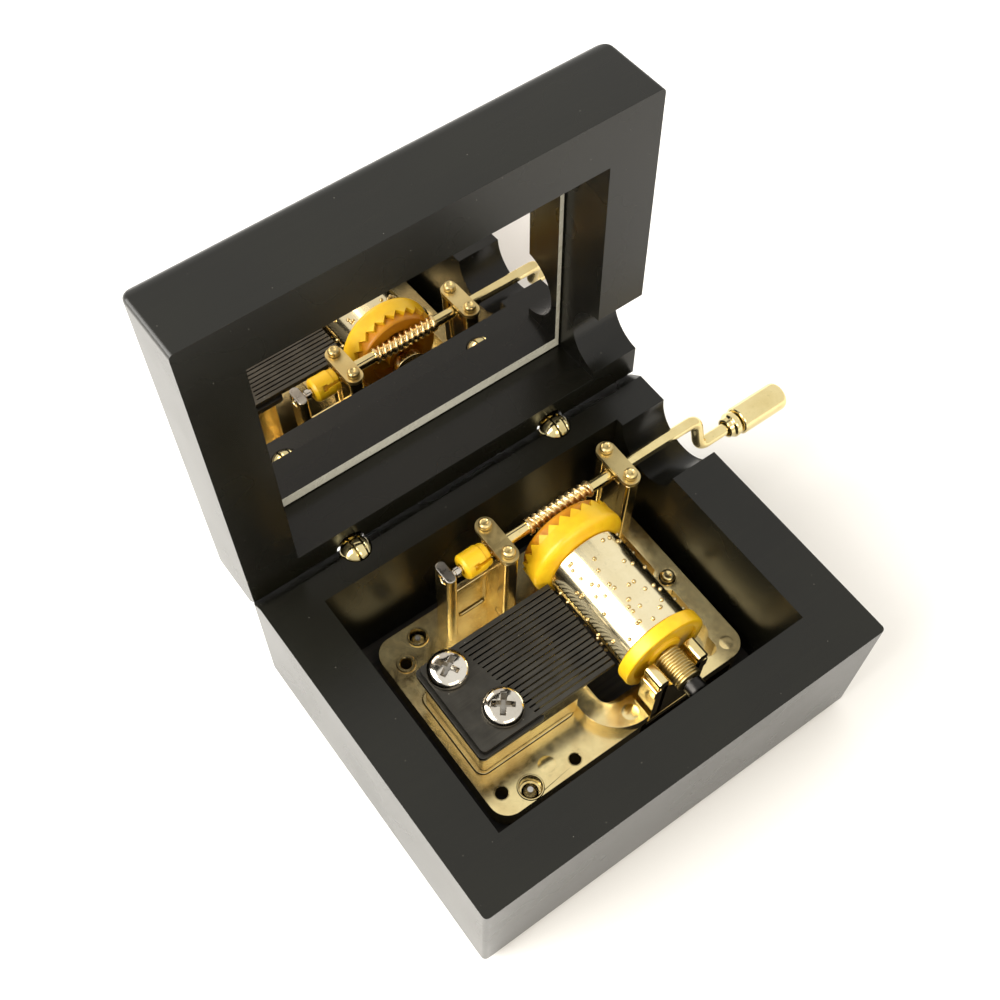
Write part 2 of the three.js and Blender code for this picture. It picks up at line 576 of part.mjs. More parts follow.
/** Worm wheel: a flared plastic cap with a crown of pointed teeth over a plain rear ring. */
function wormWheel() {
  const hub = ARBOR.radius + FIT;
  const plug = BARREL.radius - BARREL.wall - FIT;
  const profile = [
    [hub, 5.8], [plug, 5.8], [plug, WHEEL.coneFront], [7.1, WHEEL.coneFront], [WHEEL.shoulder, 10.1],
    [WHEEL.shoulder, 10.6], [WHEEL.crown, 12.4], [WHEEL.crown, WHEEL.toothTip], [WHEEL.rim, WHEEL.toothTip],
    [WHEEL.rim - 0.1, WHEEL.back], [5.6, WHEEL.back], [5.6, 12.0], [2.6, 12.0], [2.6, WHEEL.back + 0.9],
    [hub, WHEEL.back + 0.9], [hub, 5.8],
  ];
  const gaps = [];
  const step = (Math.PI * 2) / WHEEL.teeth;
  const half = WHEEL.crown * Math.tan(step / 2) * 1.02;
  for (let i = 0; i < WHEEL.teeth; i++) {
    const notch = new THREE.Shape();
    notch.moveTo(0, WHEEL.toothRoot);
    notch.lineTo(half, WHEEL.toothTip + 0.02);
    notch.lineTo(-half, WHEEL.toothTip + 0.02);
    notch.closePath();
    const gap = new THREE.ExtrudeGeometry(notch, { depth: 2, bevelEnabled: false });
    gap.translate(0, 0, WHEEL.rim);
    gap.rotateY(step * (i + 0.5) + WHEEL_PHASE);
    gap.translate(AXIS.x, 0, AXIS.z);
    gaps.push(solid(gap));
  }
  return cut(turned('y', [AXIS.x, AXIS.z], profile, WHEEL.teeth * 2), ...gaps);
}

function frontFlange() {
  const hub = ARBOR.radius + FIT;
  const plug = BARREL.radius - BARREL.wall - FIT;
  const profile = [
    [hub, -12.4], [3.2, -12.4], [3.2, -11.9], [6.4, -11.9], [6.4, -12.4], [7.6, -12.4], [7.9, -12.1],
    [7.9, -10.3], [7.6, -10.0], [plug, -10.0], [plug, -7.2], [hub, -7.2], [hub, -12.4],
  ];
  return turned('y', [AXIS.x, AXIS.z], profile, 48);
}

/** Ridged bush that runs in the fork. */
function ridgedBush() {
  const hub = ARBOR.radius + FIT;
  const profile = [[hub, -18.5], [2.1, -18.5]];
  const ridges = 6;
  const pitch = (18.5 - 12.7) / ridges;
  for (let i = 0; i < ridges; i++) {
    const y = -18.5 + i * pitch;
    profile.push([2.35, y + pitch * 0.3], [2.35, y + pitch * 0.7], [2.1, y + pitch]);
  }
  profile.push([hub, -12.7], [hub, -18.5]);
  return turned('y', [AXIS.x, AXIS.z], profile, 16);
}

const endCapProfile = [
  [0, -21.2], [1.3, -21.2], [1.8, -20.8], [1.8, -18.8], [1.3, -18.8], [1.3, -20.3], [0, -20.3], [0, -21.2],
];
const arborProfile = [[0, ARBOR.front], [1, ARBOR.front], [1, ARBOR.back - 0.3], [0.7, ARBOR.back], [0, ARBOR.back]];

piece('pinned_barrel', 'gold', pinnedBarrel());
piece('worm_wheel', 'yellow', wormWheel());
piece('front_flange', 'yellow', frontFlange());
piece('ridged_bush', 'gold', ridgedBush());
piece('arbor', 'steel', turned('y', [AXIS.x, AXIS.z], arborProfile, 16));
piece('end_cap', 'black', turned('y', [AXIS.x, AXIS.z], endCapProfile, 20));

// ---------------------------------------------------------------- comb

const COMB_BODY = { frontRoot: -11.6, backRoot: -15.2 };

/** Root of the slits, slanting so that the low notes have the longer teeth. */
function slitRoot(y) {
  const along = (y - COMB.front) / (COMB.back - COMB.front);
  return COMB_BODY.frontRoot + (COMB_BODY.backRoot - COMB_BODY.frontRoot) * along;
}

function comb() {
  const outline = roundedRectangle(COMB.left, COMB.tip, COMB.front, COMB.back, [0.9, 0, 0, 0.9]);
  const plate = raised(outline, COMB.bottom, COMB.bottom + COMB.thickness, 3);
  const pitch = (COMB.back - COMB.front) / COMB.teeth;
  const slits = [];
  for (let i = 1; i < COMB.teeth; i++) {
    const y = COMB.front + pitch * i;
    slits.push(box([slitRoot(y), y - COMB.slit / 2, 17], [COMB.tip + 1, y + COMB.slit / 2, 22]));
  }
  const bores = COMB_SCREWS.map(([x, y]) => rod('z', [x, y], 17, 22, 1.75, 16));
  return cut(plate, ...slits, ...bores);
}

function combBase() {
  const outline = roundedRectangle(COMB.left - 0.6, -10.4, COMB.front - 0.5, COMB.back + 0.4, 1);
  const plate = raised(outline, PEDESTAL.top + FIT, COMB.bottom - FIT, 3);
  return cut(plate, ...COMB_SCREWS.map(([x, y]) => rod('z', [x, y], 17, 22, 1.75, 16)));
}

/** Pan-head screw with a cross recess. */
function combScrew([x, y], turn) {
  const seat = COMB.bottom + COMB.thickness + FIT;
  const profile = [
    [0, 14.2], [1.1, 14.2], [1.2, 14.5], [1.2, seat], [3.1, seat], [3.25, seat + 0.4], [3.0, seat + 1.1],
    [2.2, seat + 1.6], [0, seat + 1.75],
  ];
  const arm = new THREE.BoxGeometry(3.2, 0.75, 2);
  const slots = [0, Math.PI / 2].map((angle) => {
    const slot = arm.clone().rotateZ(angle + turn);
    return solid(slot.translate(x, y, seat + 1.75));
  });
  return cut(turned('z', [x, y], profile, 20), ...slots);
}

piece('comb_base', 'blued', combBase());
piece('comb', 'blued', comb());
piece('comb_screw_back', 'nickel', combScrew(COMB_SCREWS[0], 0.5));
piece('comb_screw_front', 'nickel', combScrew(COMB_SCREWS[1], 0.9));

// ---------------------------------------------------------------- rivets and mounting screws

const railRivet = [
  [0, RAISED_TOP + 0.3], [1.0, RAISED_TOP + 0.3], [1.25, RAISED_TOP + 0.45], [1.25, RAISED_TOP + 0.8],
  [0.9, RAISED_TOP + 1.1], [0, RAISED_TOP + 1.15],
];

/** Countersunk wood screw from below; its tip shows in the bedplate. */
function mountScrew([x, y], tip) {
  const profile = [
    [0, 0.2], [2.7, 0.2], [2.75, 0.4], [1.25, 1.9], [1.15, 2.2], [1.15, tip - 0.8], [0.5, tip], [0, tip],
  ];
  const slot = box([x - 3, y - 0.35, -1], [x + 3, y + 0.35, 0.8]);
  return cut(turned('z', [x, y], profile, 20), slot);
}

piece('rail_rivet', 'gold', turned('z', [MOUNT_SCREWS[2][0], MOUNT_SCREWS[2][1]], railRivet, 20));
piece('mount_screw_front', 'steel', mountScrew(MOUNT_SCREWS[0], 7.6));
piece('mount_screw_back', 'steel', mountScrew(MOUNT_SCREWS[1], 8.4));
piece('mount_screw_side', 'steel', mountScrew(MOUNT_SCREWS[2], 10.6));

musicBox.updateMatrixWorld(true);

export default musicBox;
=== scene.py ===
"""Hand-cranked cylinder music box: detailed pieces, materials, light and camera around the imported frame."""

import json
import math
import random

import bmesh
import bpy
from mathutils import Matrix, Vector


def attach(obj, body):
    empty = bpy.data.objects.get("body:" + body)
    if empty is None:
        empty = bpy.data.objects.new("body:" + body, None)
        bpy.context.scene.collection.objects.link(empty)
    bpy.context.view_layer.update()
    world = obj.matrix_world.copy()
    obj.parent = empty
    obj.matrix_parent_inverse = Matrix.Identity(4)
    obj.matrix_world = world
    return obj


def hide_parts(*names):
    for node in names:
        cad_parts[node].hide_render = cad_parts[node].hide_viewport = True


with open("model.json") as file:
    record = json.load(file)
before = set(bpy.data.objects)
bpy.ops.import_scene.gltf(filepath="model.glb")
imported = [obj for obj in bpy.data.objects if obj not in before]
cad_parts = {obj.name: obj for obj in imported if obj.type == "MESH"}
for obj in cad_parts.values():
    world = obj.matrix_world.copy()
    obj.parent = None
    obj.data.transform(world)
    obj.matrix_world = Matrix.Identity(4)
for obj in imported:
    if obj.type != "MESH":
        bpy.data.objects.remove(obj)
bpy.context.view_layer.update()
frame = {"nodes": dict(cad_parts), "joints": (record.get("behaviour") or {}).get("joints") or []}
nodes = frame["nodes"]
joints = {joint["name"]: joint for joint in frame["joints"]}

MM = 0.001
LID_OPEN = math.radians(92.8)


def joint_place(name):
    """A joint's place in millimetres."""
    return Vector(joints[name]["pos_m"]) / MM


PIVOT = joint_place("lid_hinge")
SHAFT = joint_place("crank_spin")
KNOB = joint_place("knob_spin")
AXIS = joint_place("cylinder_spin")


def place_camera():
    data = bpy.data.cameras.new("camera")
    data.lens = 47.42
    data.sensor_width = 36
    data.shift_x = 0.0337
    data.shift_y = 0.075
    data.clip_start = 0.01
    camera = bpy.data.objects.new("camera", data)
    bpy.context.scene.collection.objects.link(camera)
    right = Vector((0.81159, -0.58421, -0.00438))
    up = Vector((0.51721, 0.71499, 0.4704))
    back = right.cross(up)
    turn = Matrix((right, up, back)).transposed().to_4x4()
    camera.matrix_world = Matrix.Translation((-0.06558, -0.06591, 0.21326)) @ turn
    bpy.context.scene.camera = camera


place_camera()

# ---------------------------------------------------------------- mesh tools, in millimetres


def make(name, verts, faces):
    """A piece from points in millimetres, with doubled points merged and its faces turned outward."""
    mesh = bpy.data.meshes.new(name)
    mesh.from_pydata([Vector(v) * MM for v in verts], [], faces)
    bm = bmesh.new()
    bm.from_mesh(mesh)
    bmesh.ops.remove_doubles(bm, verts=bm.verts, dist=1e-7)
    bmesh.ops.recalc_face_normals(bm, faces=bm.faces)
    bm.to_mesh(mesh)
    bm.free()
    mesh.update()
    piece = bpy.data.objects.new(name, mesh)
    bpy.context.scene.collection.objects.link(piece)
    return piece


def place_on(axis, centre, a, b, h):
    """A point h along an axis through centre, with offsets a and b across it."""
    if axis == "x":
        return (h, centre[0] + a, centre[1] + b)
    if axis == "y":
        return (centre[0] + a, h, centre[1] + b)
    return (centre[0] + a, centre[1] + b, h)


def lathe(name, axis, centre, profile, segments=64):
    """A profile of (radius, place) points turned about an axis. It may close on itself."""
    closed = profile[0] == profile[-1]
    points = profile[:-1] if closed else profile
    verts = []
    rings = []
    for r, h in points:
        start = len(verts)
        if r < 1e-6:
            verts.append(place_on(axis, centre, 0, 0, h))
            rings.append([start] * segments)
            continue
        for i in range(segments):
            t = 2 * math.pi * i / segments
            verts.append(place_on(axis, centre, r * math.cos(t), r * math.sin(t), h))
        rings.append(list(range(start, start + segments)))
    pairs = list(zip(rings, rings[1:]))
    if closed:
        pairs.append((rings[-1], rings[0]))
    faces = []
    for low, high in pairs:
        for i in range(segments):
            j = (i + 1) % segments
            face = []
            for v in (low[i], low[j], high[j], high[i]):
                if v not in face:
                    face.append(v)
            if len(face) > 2:
                faces.append(face)
    return make(name, verts, faces)


def prism(name, outline, low, high, axis="z"):
    """A flat outline pushed along an axis. Its two coordinates are the other two axes in order."""
    n = len(outline)
    verts = []
    for h in (low, high):
        for a, b in outline:
            verts.append({"x": (h, a, b), "y": (a, h, b), "z": (a, b, h)}[axis])
    faces = [list(range(n))[::-1], list(range(n, 2 * n))]
    for i in range(n):
        j = (i + 1) % n
        faces.append([i, j, n + j, n + i])
    return make(name, verts, faces)


def rounded(points, radii, steps=8):
    """A polygon with its corners rounded to the radii given, one for all or one each."""
    if not isinstance(radii, (list, tuple)):
        radii = [radii] * len(points)
    out = []
    count = len(points)
    for i, radius in enumerate(radii):
        corner = Vector(points[i])
        before = Vector(points[i - 1]) - corner
        after = Vector(points[(i + 1) % count]) - corner
        if radius <= 0:
            out.append(tuple(corner))
            continue
        angle = before.angle(after)
        reach = radius / math.tan(angle / 2)
        start = corner + before.normalized() * reach
        end = corner + after.normalized() * reach
        middle = (before.normalized() + after.normalized()).normalized()
        centre = corner + middle * (radius / math.sin(angle / 2))
        a0 = math.atan2(start.y - centre.y, start.x - centre.x)
        a1 = math.atan2(end.y - centre.y, end.x - centre.x)
        sweep = (a1 - a0 + math.pi) % (2 * math.pi) - math.pi
        for k in range(steps + 1):
            t = a0 + sweep * k / steps
            out.append((centre.x + radius * math.cos(t), centre.y + radius * math.sin(t)))
    return out


def rectangle(x0, x1, y0, y1, radii=0, steps=8):
    return rounded([(x0, y0), (x1, y0), (x1, y1), (x0, y1)], radii, steps)


def block(name, low, high):
    return prism(name, rectangle(low[0], high[0], low[1], high[1]), low[2], high[2])


def bake(piece):
    """Settles a piece's modifiers into its mesh."""
    graph = bpy.context.evaluated_depsgraph_get()
    mesh = bpy.data.meshes.new_from_object(piece.evaluated_get(graph))
    piece.modifiers.clear()
    piece.data = mesh
    return piece


def combine(piece, others, operation):
    for other in others:
        modifier = piece.modifiers.new("combine", "BOOLEAN")
        modifier.operation = operation
        modifier.solver = "EXACT"
        modifier.object = other
        bake(piece)
        bpy.data.objects.remove(other)
    return piece


def cut(piece, *others):
    return combine(piece, others, "DIFFERENCE")


def unite(piece, *others):
    return combine(piece, others, "UNION")


def soften(piece, width, segments=2, angle=30):
    """Rounds a piece's sharp edges."""
    modifier = piece.modifiers.new("soften", "BEVEL")
    modifier.width = width * MM
    modifier.segments = segments
    modifier.limit_method = "ANGLE"
    modifier.angle_limit = math.radians(angle)
    modifier.use_clamp_overlap = True
    return bake(piece)


def smooth(piece, angle=32):
    for face in piece.data.polygons:
        face.use_smooth = True
    piece.data.set_sharp_from_angle(angle=math.radians(angle))
    modifier = piece.modifiers.new("weighted", "WEIGHTED_NORMAL")
    modifier.keep_sharp = True
    return piece


def merge(name, pieces):
    """Several loose bodies as one object."""
    bm = bmesh.new()
    for piece in pieces:
        bm.from_mesh(piece.data)
        bpy.data.objects.remove(piece)
    mesh = bpy.data.meshes.new(name)
    bm.to_mesh(mesh)
    bm.free()
    whole = bpy.data.objects.new(name, mesh)
    bpy.context.scene.collection.objects.link(whole)
    return whole


def open_lid(piece):
    """Turns a piece modelled on the shut lid to the open rest pose."""
    turn = Matrix.Rotation(-LID_OPEN, 4, "X")
    about = Matrix.Translation(PIVOT * MM)
    piece.data.transform(about @ turn @ about.inverted())
    return piece


def settle(piece, body, material, slot, *stands_for):
    """Material, body and CAD nodes of a finished piece."""
    piece.data.materials.clear()
    for each in material if isinstance(material, (list, tuple)) else [material]:
        piece.data.materials.append(each)
    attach(piece, body)
    for node in stands_for:
        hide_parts(node)
    return piece


# ---------------------------------------------------------------- materials


class Shader:
    """A material of nodes over one principled shader, with its texture in the piece's own millimetres."""

    def __init__(self, name, **sockets):
        self.material = bpy.data.materials.new(name)
        self.material.use_nodes = True
        self.tree = self.material.node_tree
        self.tree.nodes.clear()
        output = self.tree.nodes.new("ShaderNodeOutputMaterial")
        self.principled = self.tree.nodes.new("ShaderNodeBsdfPrincipled")
        self.link(self.principled.outputs[0], output.inputs[0])
        for socket, value in sockets.items():
            self.principled.inputs[socket.replace("_", " ")].default_value = value
        self.coordinates = self.tree.nodes.new("ShaderNodeTexCoord").outputs["Object"]

    def link(self, source, target):
        self.tree.links.new(source, target)

    def scaled(self, x, y, z):
        """Coordinates stretched so that one unit is that many millimetres along each axis."""
        mapping = self.tree.nodes.new("ShaderNodeMapping")
        mapping.inputs["Scale"].default_value = (1 / (x * MM), 1 / (y * MM), 1 / (z * MM))
        self.link(self.coordinates, mapping.inputs["Vector"])
        return mapping.outputs[0]

    def noise(self, x, y=None, z=None, detail=3, roughness=0.55):
        node = self.tree.nodes.new("ShaderNodeTexNoise")
        node.inputs["Scale"].default_value = 1
        node.inputs["Detail"].default_value = detail
        node.inputs["Roughness"].default_value = roughness
        self.link(self.scaled(x, y or x, z or x), node.inputs["Vector"])
        return node.outputs["Fac"]

    def cells(self, size):
        node = self.tree.nodes.new("ShaderNodeTexVoronoi")
        node.inputs["Scale"].default_value = 1
        self.link(self.scaled(size, size, size), node.inputs["Vector"])
        return node.outputs["Distance"]

    def ramp(self, factor, stops):
        node = self.tree.nodes.new("ShaderNodeValToRGB")
        elements = node.color_ramp.elements
        while len(elements) < len(stops):
            elements.new(0.5)
        for element, (place, colour) in zip(elements, stops):
            element.position = place
            element.color = (*colour, 1)
        self.link(factor, node.inputs["Fac"])
        return node.outputs["Color"]

    def span(self, factor, low, high, start=0.3, end=0.7):
        """A factor spread between two numbers."""
        node = self.tree.nodes.new("ShaderNodeMapRange")
        node.inputs["From Min"].default_value = start
        node.inputs["From Max"].default_value = end
        node.inputs["To Min"].default_value = low
        node.inputs["To Max"].default_value = high
        self.link(factor, node.inputs["Value"])
        return node.outputs["Result"]

    def blend(self, factor, first, second):
        node = self.tree.nodes.new("ShaderNodeMix")
        node.data_type = "RGBA"
        node.blend_type = "MIX"
        for value, socket in ((factor, node.inputs[0]), (first, node.inputs[6]), (second, node.inputs[7])):
            if isinstance(value, bpy.types.NodeSocket):
                self.link(value, socket)
            elif isinstance(value, tuple):
                socket.default_value = (*value, 1)
            else:
                socket.default_value = value
        return node.outputs[2]

    def math(self, operation, first, second):
        node = self.tree.nodes.new("ShaderNodeMath")
        node.operation = operation
        for value, socket in ((first, node.inputs[0]), (second, node.inputs[1])):
            if isinstance(value, bpy.types.NodeSocket):
                self.link(value, socket)
            else:
                socket.default_value = value
        return node.outputs[0]

    def near(self, place, radius):
        """One at a place in millimetres, falling to nothing at a radius from it."""
        node = self.tree.nodes.new("ShaderNodeVectorMath")
        node.operation = "DISTANCE"
        node.inputs[1].default_value = Vector(place) * MM
        self.link(self.coordinates, node.inputs[0])
        return self.span(node.outputs["Value"], 1, 0, 0, radius * MM)

    def colour(self, source):
        self.link(source, self.principled.inputs["Base Color"])

    def roughness(self, source):
        self.link(source, self.principled.inputs["Roughness"])

    def bump(self, *layers):
        """Layers of (height, depth in millimetres) laid over each other."""
        normal = None
        for height, depth in layers:
            node = self.tree.nodes.new("ShaderNodeBump")
            node.inputs["Strength"].default_value = 1
            node.inputs["Distance"].default_value = depth * MM
            self.link(height, node.inputs["Height"])
            if normal:
                self.link(normal, node.inputs["Normal"])
            normal = node.outputs[0]
        self.link(normal, self.principled.inputs["Normal"])


def lacquer(name, chips=()):
    """Black satin lacquer over wood, with a little grain, dust and worn specks."""
    shader = Shader(name, Specular_IOR_Level=0.36)
    cloud = shader.noise(22, detail=2)
    grain = shader.noise(16, 0.7, 0.7, detail=3)
    peel = shader.noise(0.7, detail=2)
    base = shader.ramp(cloud, [(0.3, (0.0042, 0.004, 0.0026)), (0.7, (0.0062, 0.006, 0.0036))])
    base = shader.blend(shader.span(grain, 0, 0.25, 0.5, 0.75), base, (0.009, 0.0082, 0.0052))
    dust = shader.span(shader.cells(2.6), 1, 0, 0.02, 0.04)
    base = shader.blend(shader.math("MULTIPLY", dust, 0.3), base, (0.25, 0.24, 0.2))
    for place, radius in chips:
        broken = shader.span(shader.noise(0.5, detail=4), 0, 1, 0.6, 0.66)
        mask = shader.math("MULTIPLY", broken, shader.near(place, radius))
        base = shader.blend(shader.math("GREATER_THAN", mask, 0.45), base, (0.4, 0.36, 0.28))
    shader.colour(base)
    shader.roughness(shader.span(shader.noise(14, detail=2), 0.25, 0.285))
    shader.bump((grain, 0.0008), (peel, 0.001))
    return shader.material


def plated(name, light, dark, rough, bump=0.002, grain=None):
    """Polished cast or turned metal with faint stains and a fine surface."""
    shader = Shader(name, Metallic=1.0)
    stain = shader.noise(6, detail=4)
    speck = shader.noise(0.8, detail=3)
    base = shader.ramp(stain, [(0.36, dark), (0.6, light)])
    base = shader.blend(shader.span(speck, 0, 0.25, 0.62, 0.74), base, tuple(c * 0.6 for c in dark))
    shader.colour(base)
    lines = shader.noise(*(grain or (1.2, 1.2, 1.2)), detail=3)
    shader.roughness(shader.span(lines, rough * 0.8, rough * 1.3))
    shader.bump((shader.noise(3.5, detail=2), bump * 2), (lines, bump))
    return shader.material


def plastic(name, light, dark):
    """Moulded plastic, a little clouded and faintly marked."""
    shader = Shader(name, Subsurface_Weight=0.12, Subsurface_Scale=0.0012, Specular_IOR_Level=0.45)
    shader.principled.inputs["Subsurface Radius"].default_value = (1.0, 0.6, 0.2)
    cloud = shader.noise(3.5, detail=3)
    shader.colour(shader.ramp(cloud, [(0.3, dark), (0.6, light)]))
    shader.roughness(shader.span(shader.noise(0.8, detail=3), 0.3, 0.42))
    shader.bump((shader.noise(0.5, detail=2), 0.006))
    return shader.material


def comb_steel(name):
    """Dark ground spring steel with fine grinding lines along the teeth."""
    shader = Shader(name, Metallic=0.85)
    lines = shader.noise(9, 0.12, 0.5, detail=4)
    stain = shader.noise(4, detail=3)
    base = shader.ramp(stain, [(0.3, (0.045, 0.042, 0.036)), (0.7, (0.07, 0.066, 0.056))])
    base = shader.blend(shader.span(lines, 0, 0.35, 0.5, 0.7), base, (0.1, 0.09, 0.07))
    dust = shader.span(shader.cells(1.9), 1, 0, 0.03, 0.05)
    shader.colour(shader.blend(shader.math("MULTIPLY", dust, 0.5), base, (0.6, 0.58, 0.5)))
    shader.roughness(shader.span(lines, 0.3, 0.48))
    shader.bump((lines, 0.008))
    return shader.material


def mirror_silver():
    """Silvered glass with faint smears."""
    shader = Shader("mirror_silver", Metallic=1.0)
    shader.colour(shader.ramp(shader.noise(30), [(0.3, (0.82, 0.79, 0.77)), (0.7, (0.86, 0.83, 0.81))]))
    shader.roughness(shader.span(shader.noise(9, 2, 9, detail=4), 0.0, 0.03, 0.55, 0.8))
    return shader.material


def mirror_edge():
    """Ground glass edge of the mirror."""
    shader = Shader("mirror_ground_edge", Specular_IOR_Level=0.5)
    cloud = shader.noise(9, detail=2)
    shader.colour(shader.ramp(cloud, [(0.3, (0.56, 0.56, 0.48)), (0.7, (0.66, 0.66, 0.58))]))
    shader.roughness(shader.span(shader.noise(2), 0.2, 0.35))
    shader.bump((shader.noise(0.6), 0.001))
    return shader.material


def board():
    """Thin black-stained board that closes the bottom."""
    shader = Shader("stained_board", Specular_IOR_Level=0.35)
    grain = shader.noise(26, 0.8, 2, detail=4)
    shader.colour(shader.ramp(grain, [(0.35, (0.012, 0.0105, 0.009)), (0.7, (0.04, 0.034, 0.027))]))
    shader.roughness(shader.span(grain, 0.5, 0.75))
    shader.bump((grain, 0.05))
    return shader.material


def table():
    """Pale matt table top."""
    shader = Shader("pale_table", Specular_IOR_Level=0.2)
    cloud = shader.noise(160, detail=2)
    shader.colour(shader.ramp(cloud, [(0.3, (0.86, 0.855, 0.84)), (0.7, (0.9, 0.895, 0.88))]))
    shader.roughness(shader.span(shader.noise(4), 0.7, 0.85))
    shader.bump((shader.noise(1.5), 0.02))
    return shader.material


LACQUER = lacquer("case_lacquer", [((-38.5, 30.5, 27.0), 2.6)])
LID_LACQUER = lacquer("lid_lacquer", [((-38.5, 31.5, 33.5), 2.6)])
GOLD = plated("gold_cast", (0.86, 0.71, 0.36), (0.74, 0.57, 0.27), 0.2, 0.003)
GOLD_BRIGHT = plated("gold_polished", (0.86, 0.72, 0.37), (0.77, 0.62, 0.29), 0.14, 0.0006)
GOLD_SATIN = plated("gold_satin", (0.66, 0.53, 0.25), (0.53, 0.41, 0.18), 0.34, 0.001)
WORM_GOLD = plated("worm_gold", (0.84, 0.66, 0.34), (0.72, 0.54, 0.26), 0.26, 0.0005)
PIN = plated("pin_gold", (0.66, 0.52, 0.27), (0.5, 0.38, 0.18), 0.3, 0.001)
BARREL = plated("barrel_plated", (0.94, 0.83, 0.55), (0.88, 0.76, 0.47), 0.16, 0.001, (0.3, 7, 0.3))
BRASS = plated("hinge_brass", (0.78, 0.67, 0.35), (0.6, 0.48, 0.22), 0.12, 0.001)
NICKEL = plated("nickel", (0.74, 0.7, 0.62), (0.58, 0.53, 0.45), 0.12, 0.001)
STEEL = plated("turned_steel", (0.6, 0.58, 0.54), (0.42, 0.4, 0.36), 0.25, 0.005)
# Dark chrome for the end-post top; the same material also serves as painted shade inside the comb screws'
# cross slots.
DARK_CHROME_AND_SHADE = plated("dark_chrome_and_painted_shade", (0.42, 0.4, 0.36), (0.24, 0.22, 0.19), 0.3, 0.003)
COMB_STEEL = comb_steel("comb_steel")
YELLOW = plastic("yellow_plastic", (0.8, 0.5, 0.012), (0.72, 0.4, 0.007))
# Painted shade: a deeper orange for the wheel's rear ring behind its teeth, standing in for the shade that
# falls there.
YELLOW_PAINTED_SHADE = plastic("yellow_plastic_painted_shade", (0.62, 0.26, 0.007), (0.5, 0.19, 0.005))
BLACK = plated("black_oxide", (0.05, 0.048, 0.045), (0.03, 0.028, 0.026), 0.3)
SILVER = mirror_silver()
GROUND = mirror_edge()
BOARD = board()

# ---------------------------------------------------------------- case and lid

HALF_X = 38.5
HALF_Y = 31.5
CASE_TOP = 28.5
LID_LOW = 28.9
LID_TOP = 43.1
MITRE = 28.5
MITRE_DROP = 2.7
CAVITY = (-29.5, 29.5, -22.4, 23.8)
NOTCH_Y = 15.7
NOTCH_R = 6.55
HINGE_X = (-20.2, 20.2)
BARREL_Y = 28.4


def rounded_block(name, low, high, round_low, round_high, corner=0.8):
    """A wooden body with its upright edges eased and its lower or upper edges rounded."""
    levels = []
    for radius, level, sign in ((round_low, low, 1), (round_high, high, -1)):
        steps = 10 if radius > 1 else 0
        ring = []
        for k in range(steps + 1):
            t = math.pi / 2 * k / steps if steps else math.pi / 2
            inset = radius * (1 - math.sin(t)) if steps else 0
            rise = radius * (1 - math.cos(t)) if steps else 0
            ring.append((level + sign * rise, inset))
        levels += ring if sign > 0 else ring[::-1]
    verts = []
    faces = []
    count = 0
    for z, inset in levels:
        outline = rectangle(-HALF_X + inset, HALF_X - inset, -HALF_Y + inset, HALF_Y - inset, corner, 4)
        count = len(outline)
        verts += [(x, y, z) for x, y in outline]
    for k in range(len(levels) - 1):
        for i in range(count):
            j = (i + 1) % count
            faces.append([k * count + i, k * count + j, (k + 1) * count + j, (k + 1) * count + i])
    faces.append(list(range(count))[::-1])
    faces.append([(len(levels) - 1) * count + i for i in range(count)])
    return make(name, verts, faces)


def ball(name, centre, radius, segments=40, rings=20):
    profile = [
        (radius * math.sin(math.pi * k / rings), centre[2] - radius * math.cos(math.pi * k / rings))
        for k in range(rings + 1)
    ]
    return lathe(name, "z", (centre[0], centre[1]), profile, segments)


def rod(name, axis, centre, start, end, radius, segments=48):
    return lathe(name, axis, centre, [(0, start), (radius, start), (radius, end), (0, end)], segments)


def build_case():
    case = rounded_block("case", 0, CASE_TOP, 2.5, 0)
    x0, x1, y0, y1 = CAVITY
    end = MITRE_DROP * (HALF_Y + 1 - MITRE) / (HALF_Y - MITRE)
    wedge = [
        (MITRE, CASE_TOP), (HALF_Y + 1, CASE_TOP - end), (HALF_Y + 1, CASE_TOP + 1), (MITRE, CASE_TOP + 1),
    ]
    cutters = [
        block("cavity", (x0, y0, 3), (x1, y1, CASE_TOP + 1)),
        block("rabbet", (x0 - 3, y0 - 3, -1), (x1 + 3, y1 + 3, 4)),
        rod("notch", "x", (NOTCH_Y, CASE_TOP), x1 - 1, HALF_X + 1, NOTCH_R, 96),
        prism("mitre", wedge, -HALF_X - 1, HALF_X + 1, "x"),
    ]
    for x in HINGE_X:
        cutters.append(ball("pocket", (x, PIVOT.y, PIVOT.z), 2.85))
        cutters.append(rod("bore", "z", (x, BARREL_Y), PIVOT.z - 10.3, PIVOT.z, 2.6))
        cutters.append(block("slot", (x - 0.7, PIVOT.y, PIVOT.z - 2.1), (x + 1.4, HALF_Y + 1, CASE_TOP + 1)))
    cut(case, *cutters)
    soften(case, 0.32, 3)
    settle(smooth(case), "case", LACQUER, "lacquer", "case_body")


def build_lid():
    lid = rounded_block("lid", LID_LOW, LID_TOP, 0, 3)
    x0, x1, y0, y1 = CAVITY
    end = MITRE_DROP * (HALF_Y + 1 - MITRE) / (HALF_Y - MITRE)
    wedge = [(MITRE, LID_LOW - 1), (HALF_Y + 1, LID_LOW - 1), (HALF_Y + 1, LID_LOW + end), (MITRE, LID_LOW)]
    cutters = [
        block("recess", (x0, y0, LID_LOW - 1), (x1, y1, 40.1)),
        rod("notch", "x", (NOTCH_Y, CASE_TOP), x1 - 1, HALF_X + 1, NOTCH_R, 96),
        prism("mitre", wedge, -HALF_X - 1, HALF_X + 1, "x"),
    ]
    for x in HINGE_X:
        cutters.append(ball("pocket", (x, PIVOT.y, PIVOT.z), 2.85))
        cutters.append(rod("bore", "z", (x, BARREL_Y), PIVOT.z, PIVOT.z + 10.3, 2.6))
    cut(lid, *cutters)
    soften(lid, 0.32, 3)
    settle(smooth(open_lid(lid)), "lid", LID_LACQUER, "lacquer", "lid_shell")


